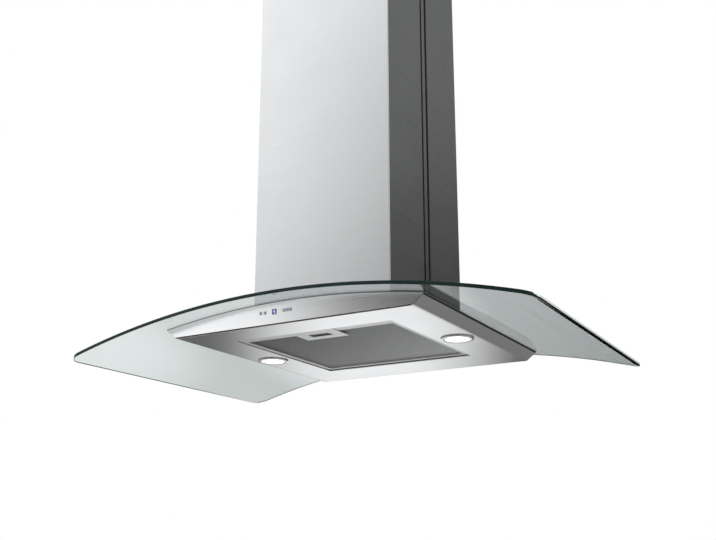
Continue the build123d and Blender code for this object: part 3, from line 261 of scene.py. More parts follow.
def spread(mat, fac, low, high, source_low=0.3, source_high=0.7):
    """A value brought from one range to another, and held at its ends."""
    ramp = mat.node_tree.nodes.new("ShaderNodeMapRange")
    ramp.inputs["From Min"].default_value = source_low
    ramp.inputs["From Max"].default_value = source_high
    ramp.inputs["To Min"].default_value = low
    ramp.inputs["To Max"].default_value = high
    mat.node_tree.links.new(fac, ramp.inputs["Value"])
    return ramp.outputs["Result"]


def tinted(mat, fac, dark, light):
    """A colour between a dark and a light one."""
    mix = mat.node_tree.nodes.new("ShaderNodeMix")
    mix.data_type = "RGBA"
    mix.inputs["A"].default_value = (*dark, 1)
    mix.inputs["B"].default_value = (*light, 1)
    mat.node_tree.links.new(fac, mix.inputs["Factor"])
    return mix.outputs["Result"]


def multiplied(mat, first, second):
    """The product of two values."""
    product = mat.node_tree.nodes.new("ShaderNodeMath")
    product.operation = "MULTIPLY"
    mat.node_tree.links.new(first, product.inputs[0])
    mat.node_tree.links.new(second, product.inputs[1])
    return product.outputs["Value"]


def bumped(mat, shader, fac, strength, distance):
    """Relief from a value."""
    bump = mat.node_tree.nodes.new("ShaderNodeBump")
    bump.inputs["Strength"].default_value = strength
    bump.inputs["Distance"].default_value = distance
    mat.node_tree.links.new(fac, bump.inputs["Height"])
    mat.node_tree.links.new(bump.outputs["Normal"], shader.inputs["Normal"])


def feeds(mat, value, shader, socket):
    """Joins a value or a colour to a socket of the shader."""
    mat.node_tree.links.new(value, shader.inputs[socket])


def brushed(name, colour, lines, roughness=0.3, contrast=0.06):
    """Brushed steel: fine scratches along the axes that lines leaves low, and faint handling marks."""
    mat, shader = material(name, colour, roughness, 1.0)
    scratches = grain(mat, lines, 5.0, 0.7)
    broad = grain(mat, tuple(min(value, 14.0) for value in lines), 2.0)
    marks = grain(mat, (9.0, 9.0, 9.0), 3.0)
    dark = tuple(value * (1 - contrast) for value in colour)
    light = tuple(min(1.0, value * (1 + contrast)) for value in colour)
    both = multiplied(mat, spread(mat, scratches, 0.1, 1.0), spread(mat, broad, 0.75, 1.0))
    feeds(mat, tinted(mat, both, dark, light), shader, "Base Color")
    scratched = spread(mat, scratches, roughness * 0.85, roughness * 1.2)
    feeds(mat, multiplied(mat, scratched, spread(mat, marks, 0.95, 1.05)), shader, "Roughness")
    bumped(mat, shader, scratches, 0.25, 0.08 * MM)
    return mat


def mottled(name, dark, light, roughness, scale=60.0, metallic=0.0, **sockets):
    """A moulded, plated or cast surface: colour and gloss that vary softly with a fine grain."""
    mat, shader = material(name, light, roughness, metallic, **sockets)
    fine = grain(mat, (scale * 12,) * 3, 3.0)
    soft = grain(mat, (scale,) * 3, 3.0)
    feeds(mat, tinted(mat, spread(mat, soft, 0.0, 1.0), dark, light), shader, "Base Color")
    feeds(mat, spread(mat, fine, roughness * 0.88, min(1.0, roughness * 1.12)), shader, "Roughness")
    bumped(mat, shader, fine, 0.1, 0.2 * MM)
    return mat


def glowing(name, colour, roughness, strength, scale, dark, light, relief=0.0, detail=1.0):
    """A lit surface, whose light varies softly with a fine grain."""
    mat, shader = material(name, colour, roughness, 0.0, Emission_Strength=strength)
    fac = spread(mat, grain(mat, (scale,) * 3, detail), 0.0, 1.0)
    feeds(mat, tinted(mat, fac, dark, light), shader, "Emission Color")
    if relief:
        bumped(mat, shader, fac, relief, 0.2 * MM)
    return mat


def mesh_painted_shade():
    """Plated wire whose colour carries painted shade: darker towards the front left and lighter towards the
    rear right.
    """
    mat, shader = material("mesh", (0.42, 0.422, 0.425), 0.42, 0.9)
    nodes, links = mat.node_tree.nodes, mat.node_tree.links
    towards_painted_light = (1.0, 1.1, 0.0)
    run = nodes.new("ShaderNodeVectorMath")
    run.operation = "DOT_PRODUCT"
    run.inputs[1].default_value = towards_painted_light
    links.new(nodes.new("ShaderNodeTexCoord").outputs["Object"], run.inputs[0])
    # Painted shade and light: the colour runs from dark at the front left to light at the rear right, with
    # a fine random unevenness
    painted_shade_ramp = spread(mat, run.outputs["Value"], 0.0, 1.0, -0.3, 0.3)
    uneven = spread(mat, grain(mat, (70.0, 70.0, 70.0), 3.0), 0.88, 1.12)
    painted_dark, painted_light = (0.25, 0.252, 0.255), (0.66, 0.662, 0.665)
    feeds(mat, tinted(mat, multiplied(mat, painted_shade_ramp, uneven), painted_dark, painted_light), shader, "Base Color")
    return mat


def clear_glass():
    """Toughened glass with a slight green tint, and faint smears in its gloss."""
    mat, shader = material(
        "canopy_glass_face", (0.69, 0.745, 0.735), 0.0, 0.0, Transmission_Weight=1.0, IOR=1.5
    )
    smears = spread(mat, grain(mat, (5.0, 5.0, 5.0), 4.0), 0.0, 0.035, 0.45, 0.75)
    feeds(mat, smears, shader, "Roughness")
    return mat


STEEL = (0.66, 0.665, 0.67)
SATIN_STEEL = (0.7, 0.7, 0.705)
# Brushing that runs level round the walls, and along the panel's width
ROUND_WALLS, ALONG_PANEL = (2.0, 2.0, 1500.0), (2.0, 1500.0, 2.0)
LOOKS = {
    "steel_wrap": brushed("steel_wrap", STEEL, ROUND_WALLS, 0.3, 0.03),
    "steel_flat": brushed("steel_flat", SATIN_STEEL, ALONG_PANEL, 0.2),
    "steel_fascia": brushed("steel_fascia", SATIN_STEEL, ROUND_WALLS, 0.19),
    "steel_button": brushed("steel_button", (0.5, 0.5, 0.51), (2.0, 2.0, 2500.0), 0.35),
    "plated": mottled("plated", (0.46, 0.47, 0.48), (0.6, 0.61, 0.61), 0.38, 40.0, 1.0),
    "fastener": mottled("fastener", (0.42, 0.42, 0.43), (0.6, 0.6, 0.6), 0.32, 200.0, 1.0),
    "rubber": mottled(
        "rubber", (0.006, 0.006, 0.007), (0.012, 0.012, 0.013), 0.75, 120.0, Specular_IOR_Level=0.2
    ),
    "gasket": mottled("gasket", (0.07, 0.07, 0.072), (0.11, 0.11, 0.112), 0.6, 120.0),
    "black_plastic": mottled("black_plastic", (0.02, 0.02, 0.022), (0.035, 0.035, 0.037), 0.45, 90.0),
    "grey_plastic": mottled("grey_plastic", (0.3, 0.31, 0.32), (0.38, 0.39, 0.4), 0.45, 90.0),
    "motor_paint": mottled("motor_paint", (0.03, 0.03, 0.033), (0.05, 0.05, 0.053), 0.35, 50.0),
    "lamp_trim": brushed("lamp_trim", (0.67, 0.67, 0.675), (900.0, 900.0, 900.0), 0.2),
    "lamp_metal": mottled("lamp_metal", (0.6, 0.6, 0.6), (0.72, 0.72, 0.72), 0.3, 60.0, 1.0),
    "board": mottled("board", (0.01, 0.08, 0.03), (0.02, 0.13, 0.05), 0.4, 90.0),
    "aluminium": mottled("aluminium", (0.55, 0.555, 0.56), (0.66, 0.66, 0.665), 0.33, 80.0, 1.0),
    # The filter's seat is near black so that the recess round the filter reads dark: painted shade
    "seat": mottled("seat", (0.05, 0.05, 0.052), (0.09, 0.09, 0.092), 0.5, 70.0),
    "latch": mottled("latch", (0.09, 0.09, 0.092), (0.13, 0.13, 0.133), 0.4, 90.0),
    "mesh": mesh_painted_shade(),
    "glass": clear_glass(),
    "edge": mottled(
        "canopy_glass_edge", (0.002, 0.008, 0.007), (0.006, 0.02, 0.017), 0.3, 30.0, Specular_IOR_Level=0.22
    ),
    # A pale copy of the glass edge's material: painted highlight
    "edge_painted_highlight": mottled("canopy_glass_edge_painted_highlight", (0.88, 0.94, 0.92), (0.95, 0.98, 0.97), 0.2, 30.0),
    "lens": glowing(
        "lamp_lens", (0.96, 0.96, 0.94), 0.35, 1.15, 700.0, (0.93, 0.94, 0.92), (1, 1, 1), 0.15, 2.0
    ),
    "light": glowing("lamp_light", (1.0, 0.98, 0.93), 0.5, 2.0, 300.0, (0.95, 0.9, 0.8), (1, 1, 0.96)),
    "screen": glowing(
        "display_window", (0.02, 0.012, 0.07), 0.08, 0.9, 260.0, (0.012, 0.008, 0.05), (0.05, 0.035, 0.17)
    ),
    "digit": glowing(
        "display_digit", (0.6, 0.62, 1.0), 0.4, 1.0, 900.0, (0.5, 0.52, 0.95), (0.75, 0.76, 1.0)
    ),
}

# Every CAD node's own finish
FINISHES = {
    "steel_wrap": "lower_chimney_front lower_chimney_rear upper_chimney_front upper_chimney_rear "
    "seam_strips",
    "steel_fascia": "front_fascia right_fascia rear_fascia left_fascia",
    "steel_flat": "underside_panel",
    "steel_button": "light_button power_button speed_down_button speed_up_button timer_button",
    "seat": "filter_seat",
    "plated": "ceiling_plate upper_uprights top_cover base_frame lower_uprights cross_braces "
    "blower_rails motor_bracket outlet_adaptor motor_shaft filter_pivots latch_spring",
    "fastener": "upper_screws glass_bolts height_screws blower_screws bracket_screws",
    "glass": "canopy_glass",
    "gasket": "glass_gasket",
    "rubber": "glass_pad",
    # The seam channels are black so that the grooves between the chimney halves read dark: painted shade
    # for the grooves' depth
    "black_plastic": "seam_channels chimney_guide control_carrier duct_collar terminal_box terminal_lid "
    "mains_gland blower_housing_left blower_housing_right front_flap rear_flap",
    "grey_plastic": "impeller run_capacitor",
    "motor_paint": "motor",
    "lamp_trim": "lamp_bezels",
    "lens": "lamp_lenses",
    "lamp_metal": "lamp_cans",
    "light": "lamp_emitters",
    "screen": "display_window",
    "board": "control_board",
    "aluminium": "filter_frame filter_handle",
    "mesh": "filter_mesh",
    "latch": "filter_latch",
}
for finish_name, node_names in FINISHES.items():
    for node_name in node_names.split():
        slots = NODES[node_name].data.materials
        slots.clear()
        slots.append(LOOKS[finish_name])


def place(obj, body, looks, replaced=()):
    """A new piece: its materials, the body it rides on, and the CAD nodes that it stands for."""
    for look in looks:
        obj.data.materials.append(LOOKS[look])
    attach(obj, body)
    if replaced:
        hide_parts(*replaced)


# ---------------------------------------------------------------------------------------------
# Canopy glass: a flat outline with its holes, cut into strips and bent over the axis along Y

# The opening under the chimney, and the bolts round it, set in from the chimney's sides
THROAT_X, THROAT_Y, THROAT_CORNER = 96 * MM, 99 * MM, 12 * MM
BOLT_INSET, BOLT_HOLE = 25 * MM, 4.5 * MM
GLASS_CORNER = 24 * MM
ARRIS = 0.5 * MM
BEND_STRIPS = 120
# The glass's materials, by their places in its list
FACE, EDGE, EDGE_PAINTED_HIGHLIGHT = range(3)
# The edge looks dark green, but at the glass's two ends its upper part has a painted highlight: a pale copy
# of the edge's material where light from above would fall. Each level goes with the least share of the
# edge's normal along X at which the painted highlight reaches down to it.
LIT_LEVELS = ((2.2 * MM, 0.7), (0.9 * MM, 0.8), (-0.4 * MM, 0.9))

chimney_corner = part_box("lower_chimney_rear")[1]
BOLT_X, BOLT_Y = chimney_corner.x - BOLT_INSET, chimney_corner.y - BOLT_INSET
glass_loops = [
    rounded_outline(GLASS_WIDTH / 2, GLASS_DEPTH / 2, GLASS_CORNER, 14),
    rounded_outline(THROAT_X, THROAT_Y, THROAT_CORNER, 8),
]
glass_loops += [circle(x, y, BOLT_HOLE, 24) for x in (-BOLT_X, BOLT_X) for y in (-BOLT_Y, BOLT_Y)]
bm = bmesh.new()
bm.from_mesh(flat_plate(glass_loops, GLASS_THICKNESS, ARRIS))
bmesh.ops.remove_doubles(bm, verts=bm.verts, dist=CUT_TOLERANCE)
for strip in range(1, BEND_STRIPS):
    cut(bm, (-GLASS_WIDTH / 2 + GLASS_WIDTH * strip / BEND_STRIPS, 0, 0), (1, 0, 0))
for level, _ in LIT_LEVELS:
    cut(bm, (0, 0, level), (0, 0, 1))
bmesh.ops.recalc_face_normals(bm, faces=bm.faces)
for face in bm.faces:
    face.material_index = FACE if abs(face.normal.z) > 0.9 else EDGE
    middle = face.calc_center_median()
    at_end = abs(middle.x) > GLASS_WIDTH / 2 - GLASS_CORNER
    # Painted highlight: these upper edge faces at the glass's ends take the pale copy of the edge's
    # material
    if at_end and any(middle.z > level and abs(face.normal.x) > lean for level, lean in LIT_LEVELS):
        face.material_index = EDGE_PAINTED_HIGHLIGHT
    face.smooth = True
for edge in bm.edges:
    edge.smooth = len({face.material_index for face in edge.link_faces}) == 1
for vert in bm.verts:
    radius = GLASS_RADIUS - GLASS_THICKNESS / 2 + vert.co.z
    vert.co.z = BEND_AXIS + math.sqrt(radius**2 - vert.co.x**2)
canopy = from_bmesh("canopy_glass_bent", bm)
place(canopy, "hood", ("glass", "edge", "edge_painted_highlight"), ("canopy_glass",))

# ---------------------------------------------------------------------------------------------
# Filter: expanded aluminium layers in the frame's channel

mesh_low, mesh_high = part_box("filter_mesh")
handle_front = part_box("filter_handle")[0].y
CELL_X, CELL_Y = 6.4 * MM, 3.2 * MM
STRAND = 1.0 * MM
SHEET, TILT = 0.4 * MM, 0.2 * MM
NOTCH_HALF_WIDTH, NOTCH_DEPTH = 23.5 * MM, 47 * MM
CORNER_CUT = 9 * MM


def cut_away(x, y):
    """Whether the mesh ends before this point: in the notch for the handle, or in a rear corner."""
    in_notch = abs(x) < NOTCH_HALF_WIDTH and y < handle_front + NOTCH_DEPTH
    in_corner = abs(x) > mesh_high.x - CORNER_CUT and y > mesh_high.y - CORNER_CUT
    return in_notch or in_corner


def expanded_layer(level, cell_x, cell_y, strand):
    """Strands that zigzag along X, each touching the next at its tips, tilted as expanded metal is."""
    verts, faces = [], []
    left, right = mesh_low.x + strand, mesh_high.x - strand
    front, rear = mesh_low.y + strand, mesh_high.y - strand
    rows = int((rear - front) / cell_y)
    last = 2 * int((right - left) / cell_x)
    stations = [left + (right - left) * k / last for k in range(last + 1)]
    for row in range(rows + 1):
        row_y = front + (rear - front) * row / (rows + 1)
        start = None
        for k, x in enumerate(stations):
            if cut_away(x, row_y):
                start = None
                continue
            way = 1 if (row + k) % 2 == 0 else -1
            y = min(max(row_y + way * cell_y / 2, front), rear)
            tilt = way * TILT
            first = len(verts)
            verts += [
                Vector((x, y - strand / 2, level - tilt)),
                Vector((x, y + strand / 2, level + tilt)),
                Vector((x, y + strand / 2, level + tilt + SHEET)),
                Vector((x, y - strand / 2, level - tilt + SHEET)),
            ]
            if start is None:
                faces.append((first, first + 1, first + 2, first + 3))
            else:
                for a in range(4):
                    b = (a + 1) % 4
                    faces.append((start + a, start + b, first + b, first + a))
            start = first
            if k == last or cut_away(stations[k + 1], row_y):
                faces.append((first + 3, first + 2, first + 1, first))
    return verts, faces


# Two layers lie at the faces of the filter, and a finer one between them
layers = [
    expanded_layer(mesh_low.z + 0.25 * MM, CELL_X, CELL_Y, STRAND),
    expanded_layer(mesh_low.z + 3.2 * MM, CELL_X * 0.8, CELL_Y * 0.7, STRAND * 0.9),
    expanded_layer(mesh_high.z - 0.7 * MM, CELL_X, CELL_Y * 0.8, STRAND),
]
mesh_layers = new_object("filter_mesh_layers", *gathered(layers), smooth=False)
place(mesh_layers, "filter", ("mesh",), ("filter_mesh",))

# Hem: a rolled edge that holds the mesh down along the rear of its window. Its dark colour is painted shade
# for the gap there. Its section is given in millimetres before the window's rear edge and below the mesh.
FILTER_BORDER = 10 * MM
HEM_SECTION = ((2.6, 0.0), (2.4, 0.7), (1.6, 1.1), (0.1, 1.2), (0.1, 0.0))
frame_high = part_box("filter_frame")[1]
hem_x, hem_rear = frame_high.x - FILTER_BORDER, frame_high.y - FILTER_BORDER
hem_verts = [
    Vector((x, hem_rear - before * MM, mesh_low.z - below * MM))
    for x in (-hem_x, hem_x)
    for before, below in HEM_SECTION
]
shade_hem = joined("filter_mesh_painted_shade_hem", [(hem_verts, prism_faces(len(HEM_SECTION)))], smooth=False)
place(shade_hem, "filter", ("latch",), ())

# ---------------------------------------------------------------------------------------------
# Lamps: ribbed domed lenses, turned bezels, and black rubber rings between bezels and panel, whose black is
# painted shade on the bezels' outer walls

lens_low, lens_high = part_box("lamp_lenses")
bezel_low, bezel_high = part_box("lamp_bezels")
LENS_RADIUS = (lens_high.y - lens_low.y) / 2
BEZEL_RADIUS = (bezel_high.y - bezel_low.y) / 2
LAMP_X = bezel_high.x - BEZEL_RADIUS
LAMP_Y = (bezel_high.y + bezel_low.y) / 2
LAMP_STEPS = 96

# Lens: a wall that narrows upwards, and a dome below it with fine ring ribs
DOME, DOME_LIFT, DOME_INSET, DOME_STEPS = 1.5 * MM, 0.12 * MM, 0.45 * MM, 24
RIB, RIBBED = 0.09 * MM, range(3, 20)
LENS_GAP, LENS_DRAFT, LENS_FOOT = 0.2 * MM, 0.15 * MM, 0.35 * MM
dome_sphere = (LENS_RADIUS**2 + DOME**2) / (2 * DOME)
lens_profile = [
    (0.0, lens_high.z),
    (LENS_RADIUS - LENS_GAP - LENS_DRAFT, lens_high.z),
    (LENS_RADIUS - LENS_GAP, bezel_low.z + LENS_FOOT),
]
for k in range(DOME_STEPS + 1):
    radius = (LENS_RADIUS - DOME_INSET) * (1 - k / DOME_STEPS)
    drop = math.sqrt(dome_sphere**2 - radius**2) - (dome_sphere - DOME)
    rib = RIB * math.cos(k * math.pi) if k in RIBBED else 0.0
    lens_profile.append((radius, bezel_low.z - drop + DOME_LIFT + rib))

# Bezel: a tube through the panel with a flange under it. The flange's edges are given in millimetres, as
# far in from its rim or out from the lens, and above its lowest face.
TUBE_WALL = 1.5 * MM
RIM_ROUND = ((0.0, 0.6), (0.1, 0.3), (0.3, 0.1), (0.6, 0.0))
MOUTH_ROUND = ((0.5, 0.0), (0.15, 0.15), (0.0, 0.5))
bezel_profile = [
    (LENS_RADIUS, bezel_high.z),
    (LENS_RADIUS + TUBE_WALL, bezel_high.z),
    (LENS_RADIUS + TUBE_WALL, UNDERSIDE),
    (BEZEL_RADIUS, UNDERSIDE),
]
bezel_profile += [(BEZEL_RADIUS - inward * MM, bezel_low.z + up * MM) for inward, up in RIM_ROUND]
bezel_profile += [(LENS_RADIUS + outward * MM, bezel_low.z + up * MM) for outward, up in MOUTH_ROUND]

# Ring: it fills the flange's rim from just above its rounding to just below the panel, and its black is
# painted shade on the bezel's outer wall
RING_WIDTH, RING_GAP = 2.0 * MM, 0.05 * MM
RING_INNER_FOOT, RING_OUTER_FOOT = 0.5 * MM, 0.6 * MM
ring_profile = [
    (BEZEL_RADIUS - RING_WIDTH, bezel_low.z + RING_INNER_FOOT),
    (BEZEL_RADIUS, bezel_low.z + RING_OUTER_FOOT),
    (BEZEL_RADIUS, UNDERSIDE - RING_GAP),
    (BEZEL_RADIUS - RING_WIDTH, UNDERSIDE - RING_GAP),
]

for name, profile, crisp_angle, look, replaced, slot in (
    ("lamp_lens_domes", lens_profile, 60, "lens", ("lamp_lenses",), "lamp_glass"),
    ("lamp_bezel_rings", bezel_profile, 50, "lamp_trim", ("lamp_bezels",), "lamp_trim"),
    ("lamp_painted_shade_rings", ring_profile, 50, "rubber", (), "black_rubber"),
):
    turned = joined(name, [lathe(profile, (x, LAMP_Y, 0), LAMP_STEPS) for x in (-LAMP_X, LAMP_X)])
    sharpen(turned, crisp_angle)
    place(turned, "hood", (look,), replaced)

# ---------------------------------------------------------------------------------------------
# Controls: crowned button caps on collars, and a figure behind the display's window

CAP_HALF_HEIGHT, CAP_CORNER, CAP_CROWN = 2.6 * MM, 1.9 * MM, 0.3 * MM
COLLAR_DEPTH = 1 * MM
for name in ("light_button", "power_button", "speed_down_button", "speed_up_button", "timer_button"):
    low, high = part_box(name)
    centre = ((low.x + high.x) / 2, (low.z + high.z) / 2)
    half_width = (high.x - low.x) / 2
    collar_front = high.y - COLLAR_DEPTH
    cap = pillow(centre, half_width, CAP_HALF_HEIGHT, CAP_CORNER, collar_front, low.y, CAP_CROWN)
    collar_outline = ((low.x, low.z), (high.x, low.z), (high.x, high.z), (low.x, high.z))
    collar_verts = [Vector((x, y, z)) for y in (collar_front, high.y) for x, z in collar_outline]
    button = joined(f"{name}_cap", [cap, (collar_verts, prism_faces(len(collar_outline)))])
    sharpen(button, 50)
    place(button, name, ("steel_button",), (name,))

window_low, window_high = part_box("display_window")
DIGIT_HEIGHT, DIGIT_WIDTH, SEGMENT = 5.2 * MM, 3.0 * MM, 0.62 * MM
DIGIT_RECESS, DIGIT_DEPTH = 0.2 * MM, 0.28 * MM
digit_x = (window_low.x + window_high.x) / 2
digit_z = (window_low.z + window_high.z) / 2
digit_y = window_low.y + DIGIT_RECESS


def segment(x0, z0, x1, z1):
    """One lit bar of the figure, with pointed ends."""
    start, end = Vector((x0, 0, z0)), Vector((x1, 0, z1))
    along = (end - start).normalized()
    across = Vector((-along.z, 0, along.x)) * SEGMENT / 2
    gap = along * SEGMENT * 0.2
    tip = along * SEGMENT / 2
    outline = [
        start + gap,
        start + gap + tip + across,
        end - gap - tip + across,
        end - gap,
        end - gap - tip - across,
        start + gap + tip - across,
    ]
    verts = [
        Vector((digit_x + point.x, y, digit_z + point.z))
        for y in (digit_y - DIGIT_DEPTH, digit_y)
        for point in outline
    ]
    return verts, prism_faces(len(outline))


half_w, half_h = DIGIT_WIDTH / 2, DIGIT_HEIGHT / 2
bars = [
    segment(-half_w, half_h, half_w, half_h),
    segment(-half_w, 0, -half_w, half_h),
    segment(-half_w, 0, half_w, 0),
    segment(half_w, -half_h, half_w, 0),
    segment(-half_w, -half_h, half_w, -half_h),
]
digit = joined("display_figure", bars, smooth=False)
place(digit, "hood", ("digit",), ())

# ---------------------------------------------------------------------------------------------
# Seal lips: the gasket's edge turned down over the top of each side wall

# The side wall's plane: how far out it goes for each step up, and where its foot is
SIDE_SLOPE, FOOT_X = 1.23, 236.5 * MM
LIP_HEIGHT, LIP_THICKNESS, LIP_END_GAP = 2.6 * MM, 0.5 * MM, 1.5 * MM
up_slope = Vector((SIDE_SLOPE, 0, 1)).normalized()
outward = Vector((1, 0, -SIDE_SLOPE)).normalized() * LIP_THICKNESS
lip_parts = []
for way, wall in ((-1, "left_fascia"), (1, "right_fascia")):
    wall_low, wall_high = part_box(wall)
    top_x = wall_high.x if way > 0 else -wall_low.x
    top = Vector((top_x, 0, UNDERSIDE + (top_x - FOOT_X) / SIDE_SLOPE))
    foot = top - up_slope * LIP_HEIGHT
    section = [top, top + outward * 0.8, foot + outward + up_slope * 0.3 * MM, foot + outward * 0.6, foot]
    verts = [
        Vector((way * point.x, y, point.z))
        for y in (wall_low.y + LIP_END_GAP, wall_high.y - LIP_END_GAP)
        for point in section
    ]
    lip_parts.append((verts, prism_faces(len(section))))
lips = joined("seal_lips", lip_parts, smooth=False)
place(lips, "hood", ("rubber",), ())

# ---------------------------------------------------------------------------------------------
# Chimney screws: domed heads with a cross recess on the upper chimney's sides

screws_low, screws_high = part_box("upper_screws")
screw_z = (screws_low.z + screws_high.z) / 2
SHANK_RADIUS, SHANK_LENGTH = 1.5 * MM, 3.0 * MM
HEAD_RADIUS, HEAD_HEIGHT, RECESS_FLOOR = 3.0 * MM, 1.6 * MM, 0.7 * MM
HEAD_STEPS = 32
# The head from its rim to the recess: a share of its radius, and millimetres above the chimney's side
HEAD_ROUND = ((1.0, 0.0), (0.97, 0.5), (0.85, 0.95), (0.62, 1.35), (0.4, 1.55), (0.3, 1.6), (0.28, 0.9))
head_profile = [(0.0, -SHANK_LENGTH), (SHANK_RADIUS, -SHANK_LENGTH), (SHANK_RADIUS, 0.0)]
head_profile += [(HEAD_RADIUS * share, up * MM) for share, up in HEAD_ROUND]
head_profile += [(0.0, RECESS_FLOOR)]
# The last two points of the rounding are the recess's mouth and foot, which reach out in four arms
recess_rings = (len(head_profile) - 3, len(head_profile) - 2)
ARM_REACH = 0.75
screw_parts = []
for way in (-1, 1):
    seat_x = way * (screws_high.x - HEAD_HEIGHT)
    for screw_y in (screws_low.y + HEAD_RADIUS, screws_high.y - HEAD_RADIUS):
        verts, faces = lathe(head_profile, (seat_x, screw_y, screw_z), HEAD_STEPS, "x", way)
        for index, vert in enumerate(verts):
            step, ring = divmod(index, len(head_profile))
            if ring in recess_rings:
                arm = max(0.0, math.cos(4 * 2 * math.pi * step / HEAD_STEPS)) ** 3
                vert.y = screw_y + (vert.y - screw_y) * (1.0 + ARM_REACH * arm)
                vert.z = screw_z + (vert.z - screw_z) * (1.0 + ARM_REACH * arm)
        screw_parts.append((verts, faces))
screws = joined("upper_screw_heads", screw_parts)
sharpen(screws, 40)
place(screws, "ceiling_mount", ("fastener",), ("upper_screws",))

# ---------------------------------------------------------------------------------------------
# Floor

FLOOR_DROP, FLOOR_RADIUS, FLOOR_SIDES = 1.6, 5.0, 96
floor_ring = [(x, y, UNDERSIDE - FLOOR_DROP) for x, y in circle(0, 0, FLOOR_RADIUS, FLOOR_SIDES)]
floor = new_object("studio_floor", floor_ring, [tuple(range(FLOOR_SIDES))], smooth=False)
floor_mat, floor_shader = material("studio_floor", (0.86, 0.86, 0.86), 0.7)
floor_grain = grain(floor_mat, (2.0, 2.0, 2.0), 3.0)
floor_tint = tinted(floor_mat, floor_grain, (0.84, 0.84, 0.84), (0.88, 0.88, 0.88))
feeds(floor_mat, floor_tint, floor_shader, "Base Color")
floor.data.materials.append(floor_mat)
floor.visible_glossy = False

# ---------------------------------------------------------------------------------------------
# World: white to the camera and through the glass, soft light on the object, and a studio of pale and dark
# cards in what polished faces mirror

BARE_LEVEL = 0.88
# Each card covers the ones before it. It has its middle's azimuth, from -Y towards -X, and elevation, the
# angles from there up to which it is whole and at which it ends, all in degrees, and its level.
CARDS = (
    ((39, 34), (13, 30), 1.65),
    ((6, 20), (4, 28), 0.5),
    ((20, 25), (4, 14), 0.5),
    ((31, 12), (2, 10), 0.5),
    ((46, 5), (4, 14), 1.15),
    ((14, 5), (11, 21), 0.05),
    ((37.5, 3), (1, 8), 1.65),
    ((336, 8), (14, 26), 0.05),
    ((158, -14), (22, 34), 0.1),
    ((206, 22), (18, 40), 0.15),
    ((206, 4), (12, 22), 0.0),
    ((192, -26), (8, 18), 0.23),
    ((162, 0), (6, 16), 0.0),
    ((151, -14), (2, 10), 1.35),
    ((141, -31), (1, 9), 1.25),
)

world = bpy.data.worlds.new("studio")
bpy.context.scene.world = world
world.use_nodes = True
world_nodes, world_links = world.node_tree.nodes, world.node_tree.links
world_nodes.clear()
out = world_nodes.new("ShaderNodeOutputWorld")
rays = world_nodes.new("ShaderNodeLightPath")
direction = world_nodes.new("ShaderNodeTexCoord").outputs["Generated"]


def heading(azimuth, elevation):
    """Direction at an azimuth from -Y towards -X and an elevation, in degrees."""
    a, e = math.radians(azimuth), math.radians(elevation)
    return Vector((-math.sin(a) * math.cos(e), -math.cos(a) * math.cos(e), math.sin(e)))


def card(towards, whole, end):
    """How much of a card is seen in a direction: 1 inside its whole angle, fading to 0 where it ends."""
    dot = world_nodes.new("ShaderNodeVectorMath")
    dot.operation = "DOT_PRODUCT"
    dot.inputs[1].default_value = towards
    world_links.new(direction, dot.inputs[0])
    ramp = world_nodes.new("ShaderNodeMapRange")
    ramp.interpolation_type = "SMOOTHSTEP"
    ramp.inputs["From Min"].default_value = math.cos(math.radians(end))
    ramp.inputs["From Max"].default_value = math.cos(math.radians(whole))
    world_links.new(dot.outputs["Value"], ramp.inputs["Value"])
    return ramp.outputs["Result"]


def background(colour, strength):
    """A background of one colour."""
    shade = world_nodes.new("ShaderNodeBackground")
    shade.inputs["Color"].default_value = (*colour, 1)
    shade.inputs["Strength"].default_value = strength
    return shade


def mixed(fac, first, second):
    """The first shader where a value is 0, and the second where it is 1."""
    mix = world_nodes.new("ShaderNodeMixShader")
    world_links.new(fac, mix.inputs["Fac"])
    world_links.new(first.outputs[0], mix.inputs[1])
    world_links.new(second.outputs[0], mix.inputs[2])
    return mix


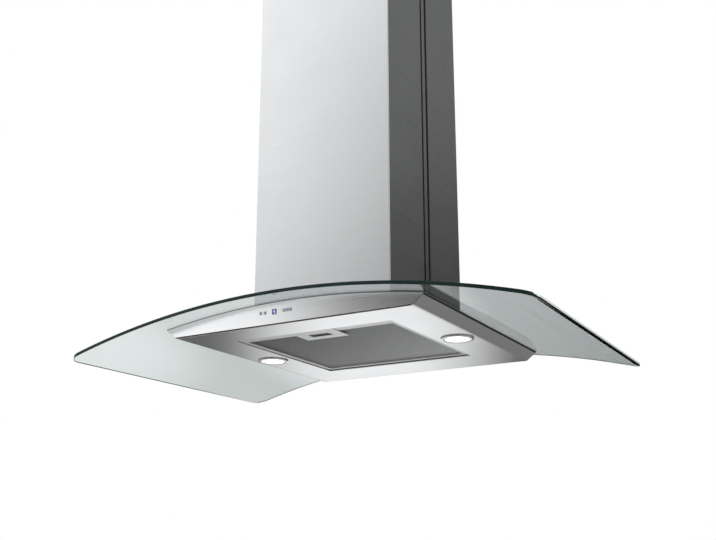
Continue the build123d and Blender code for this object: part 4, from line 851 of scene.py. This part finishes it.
mirrored = None
for (azimuth, elevation), (whole, end), level in CARDS:
    mix = world_nodes.new("ShaderNodeMix")
    mix.data_type = "FLOAT"
    if mirrored is None:
        mix.inputs["A"].default_value = BARE_LEVEL
    else:
        world_links.new(mirrored, mix.inputs["A"])
    mix.inputs["B"].default_value = level
    world_links.new(card(heading(azimuth, elevation), whole, end), mix.inputs["Factor"])
    mirrored = mix.outputs["Result"]
mirror = background((0.985, 0.995, 1.0), 1.0)
world_links.new(mirrored, mirror.inputs["Strength"])
ambient = background((1, 1, 1), 0.62)
backdrop = background((1, 1, 1), 1.0)
on_object = mixed(rays.outputs["Is Glossy Ray"], ambient, mirror)
seen_directly = world_nodes.new("ShaderNodeMath")
seen_directly.operation = "MAXIMUM"
world_links.new(rays.outputs["Is Camera Ray"], seen_directly.inputs[0])
world_links.new(rays.outputs["Is Transmission Ray"], seen_directly.inputs[1])
studio = mixed(seen_directly.outputs[0], on_object, backdrop)
world_links.new(studio.outputs[0], out.inputs["Surface"])

# ---------------------------------------------------------------------------------------------
# Lamps of the studio

AIM = Vector((0, 0, UNDERSIDE + 0.2))


def area_lamp(name, position, side, energy):
    """A square soft lamp that points at the hood, and is itself never seen."""
    data = bpy.data.lights.new(name, "AREA")
    data.shape = "SQUARE"
    data.size = side
    data.energy = energy
    lamp = bpy.data.objects.new(name, data)
    bpy.context.scene.collection.objects.link(lamp)
    lamp.location = position
    lamp.rotation_mode = "QUATERNION"
    lamp.rotation_quaternion = (AIM - Vector(position)).to_track_quat("-Z", "Y")
    lamp.visible_camera = False
    lamp.visible_glossy = False
    lamp.visible_transmission = False


area_lamp("key", (-2.2, -2.4, UNDERSIDE + 1.6), 1.8, 42)
area_lamp("fill", (2.4, -1.8, UNDERSIDE + 0.9), 2.2, 18)
area_lamp("below", (0.3, -1.2, UNDERSIDE - 0.9), 2.0, 10)

# ---------------------------------------------------------------------------------------------
# Camera: its lens, place and turn were solved from the straight edges in the photograph

PHOTO_WIDTH = 716
FOCAL_PIXELS = 944.6
SENSOR = 36.0
SHIFT = 0.05
CAMERA_X, CAMERA_Y, CAMERA_DROP = 0.8660, -1.5126, 0.3744
CAMERA_TILT, CAMERA_TURN = 14.818, 29.968

camera_data = bpy.data.cameras.new("camera")
camera_data.sensor_width = SENSOR
camera_data.lens = FOCAL_PIXELS / PHOTO_WIDTH * SENSOR
camera_data.shift_y = SHIFT
camera_data.clip_start, camera_data.clip_end = 0.05, 60.0
camera = bpy.data.objects.new("camera", camera_data)
bpy.context.scene.collection.objects.link(camera)
camera.location = (CAMERA_X, CAMERA_Y, UNDERSIDE - CAMERA_DROP)
camera.rotation_euler = (math.radians(90 + CAMERA_TILT), 0, math.radians(CAMERA_TURN))
bpy.context.scene.camera = camera
bpy.context.scene.view_settings.view_transform = "Standard"
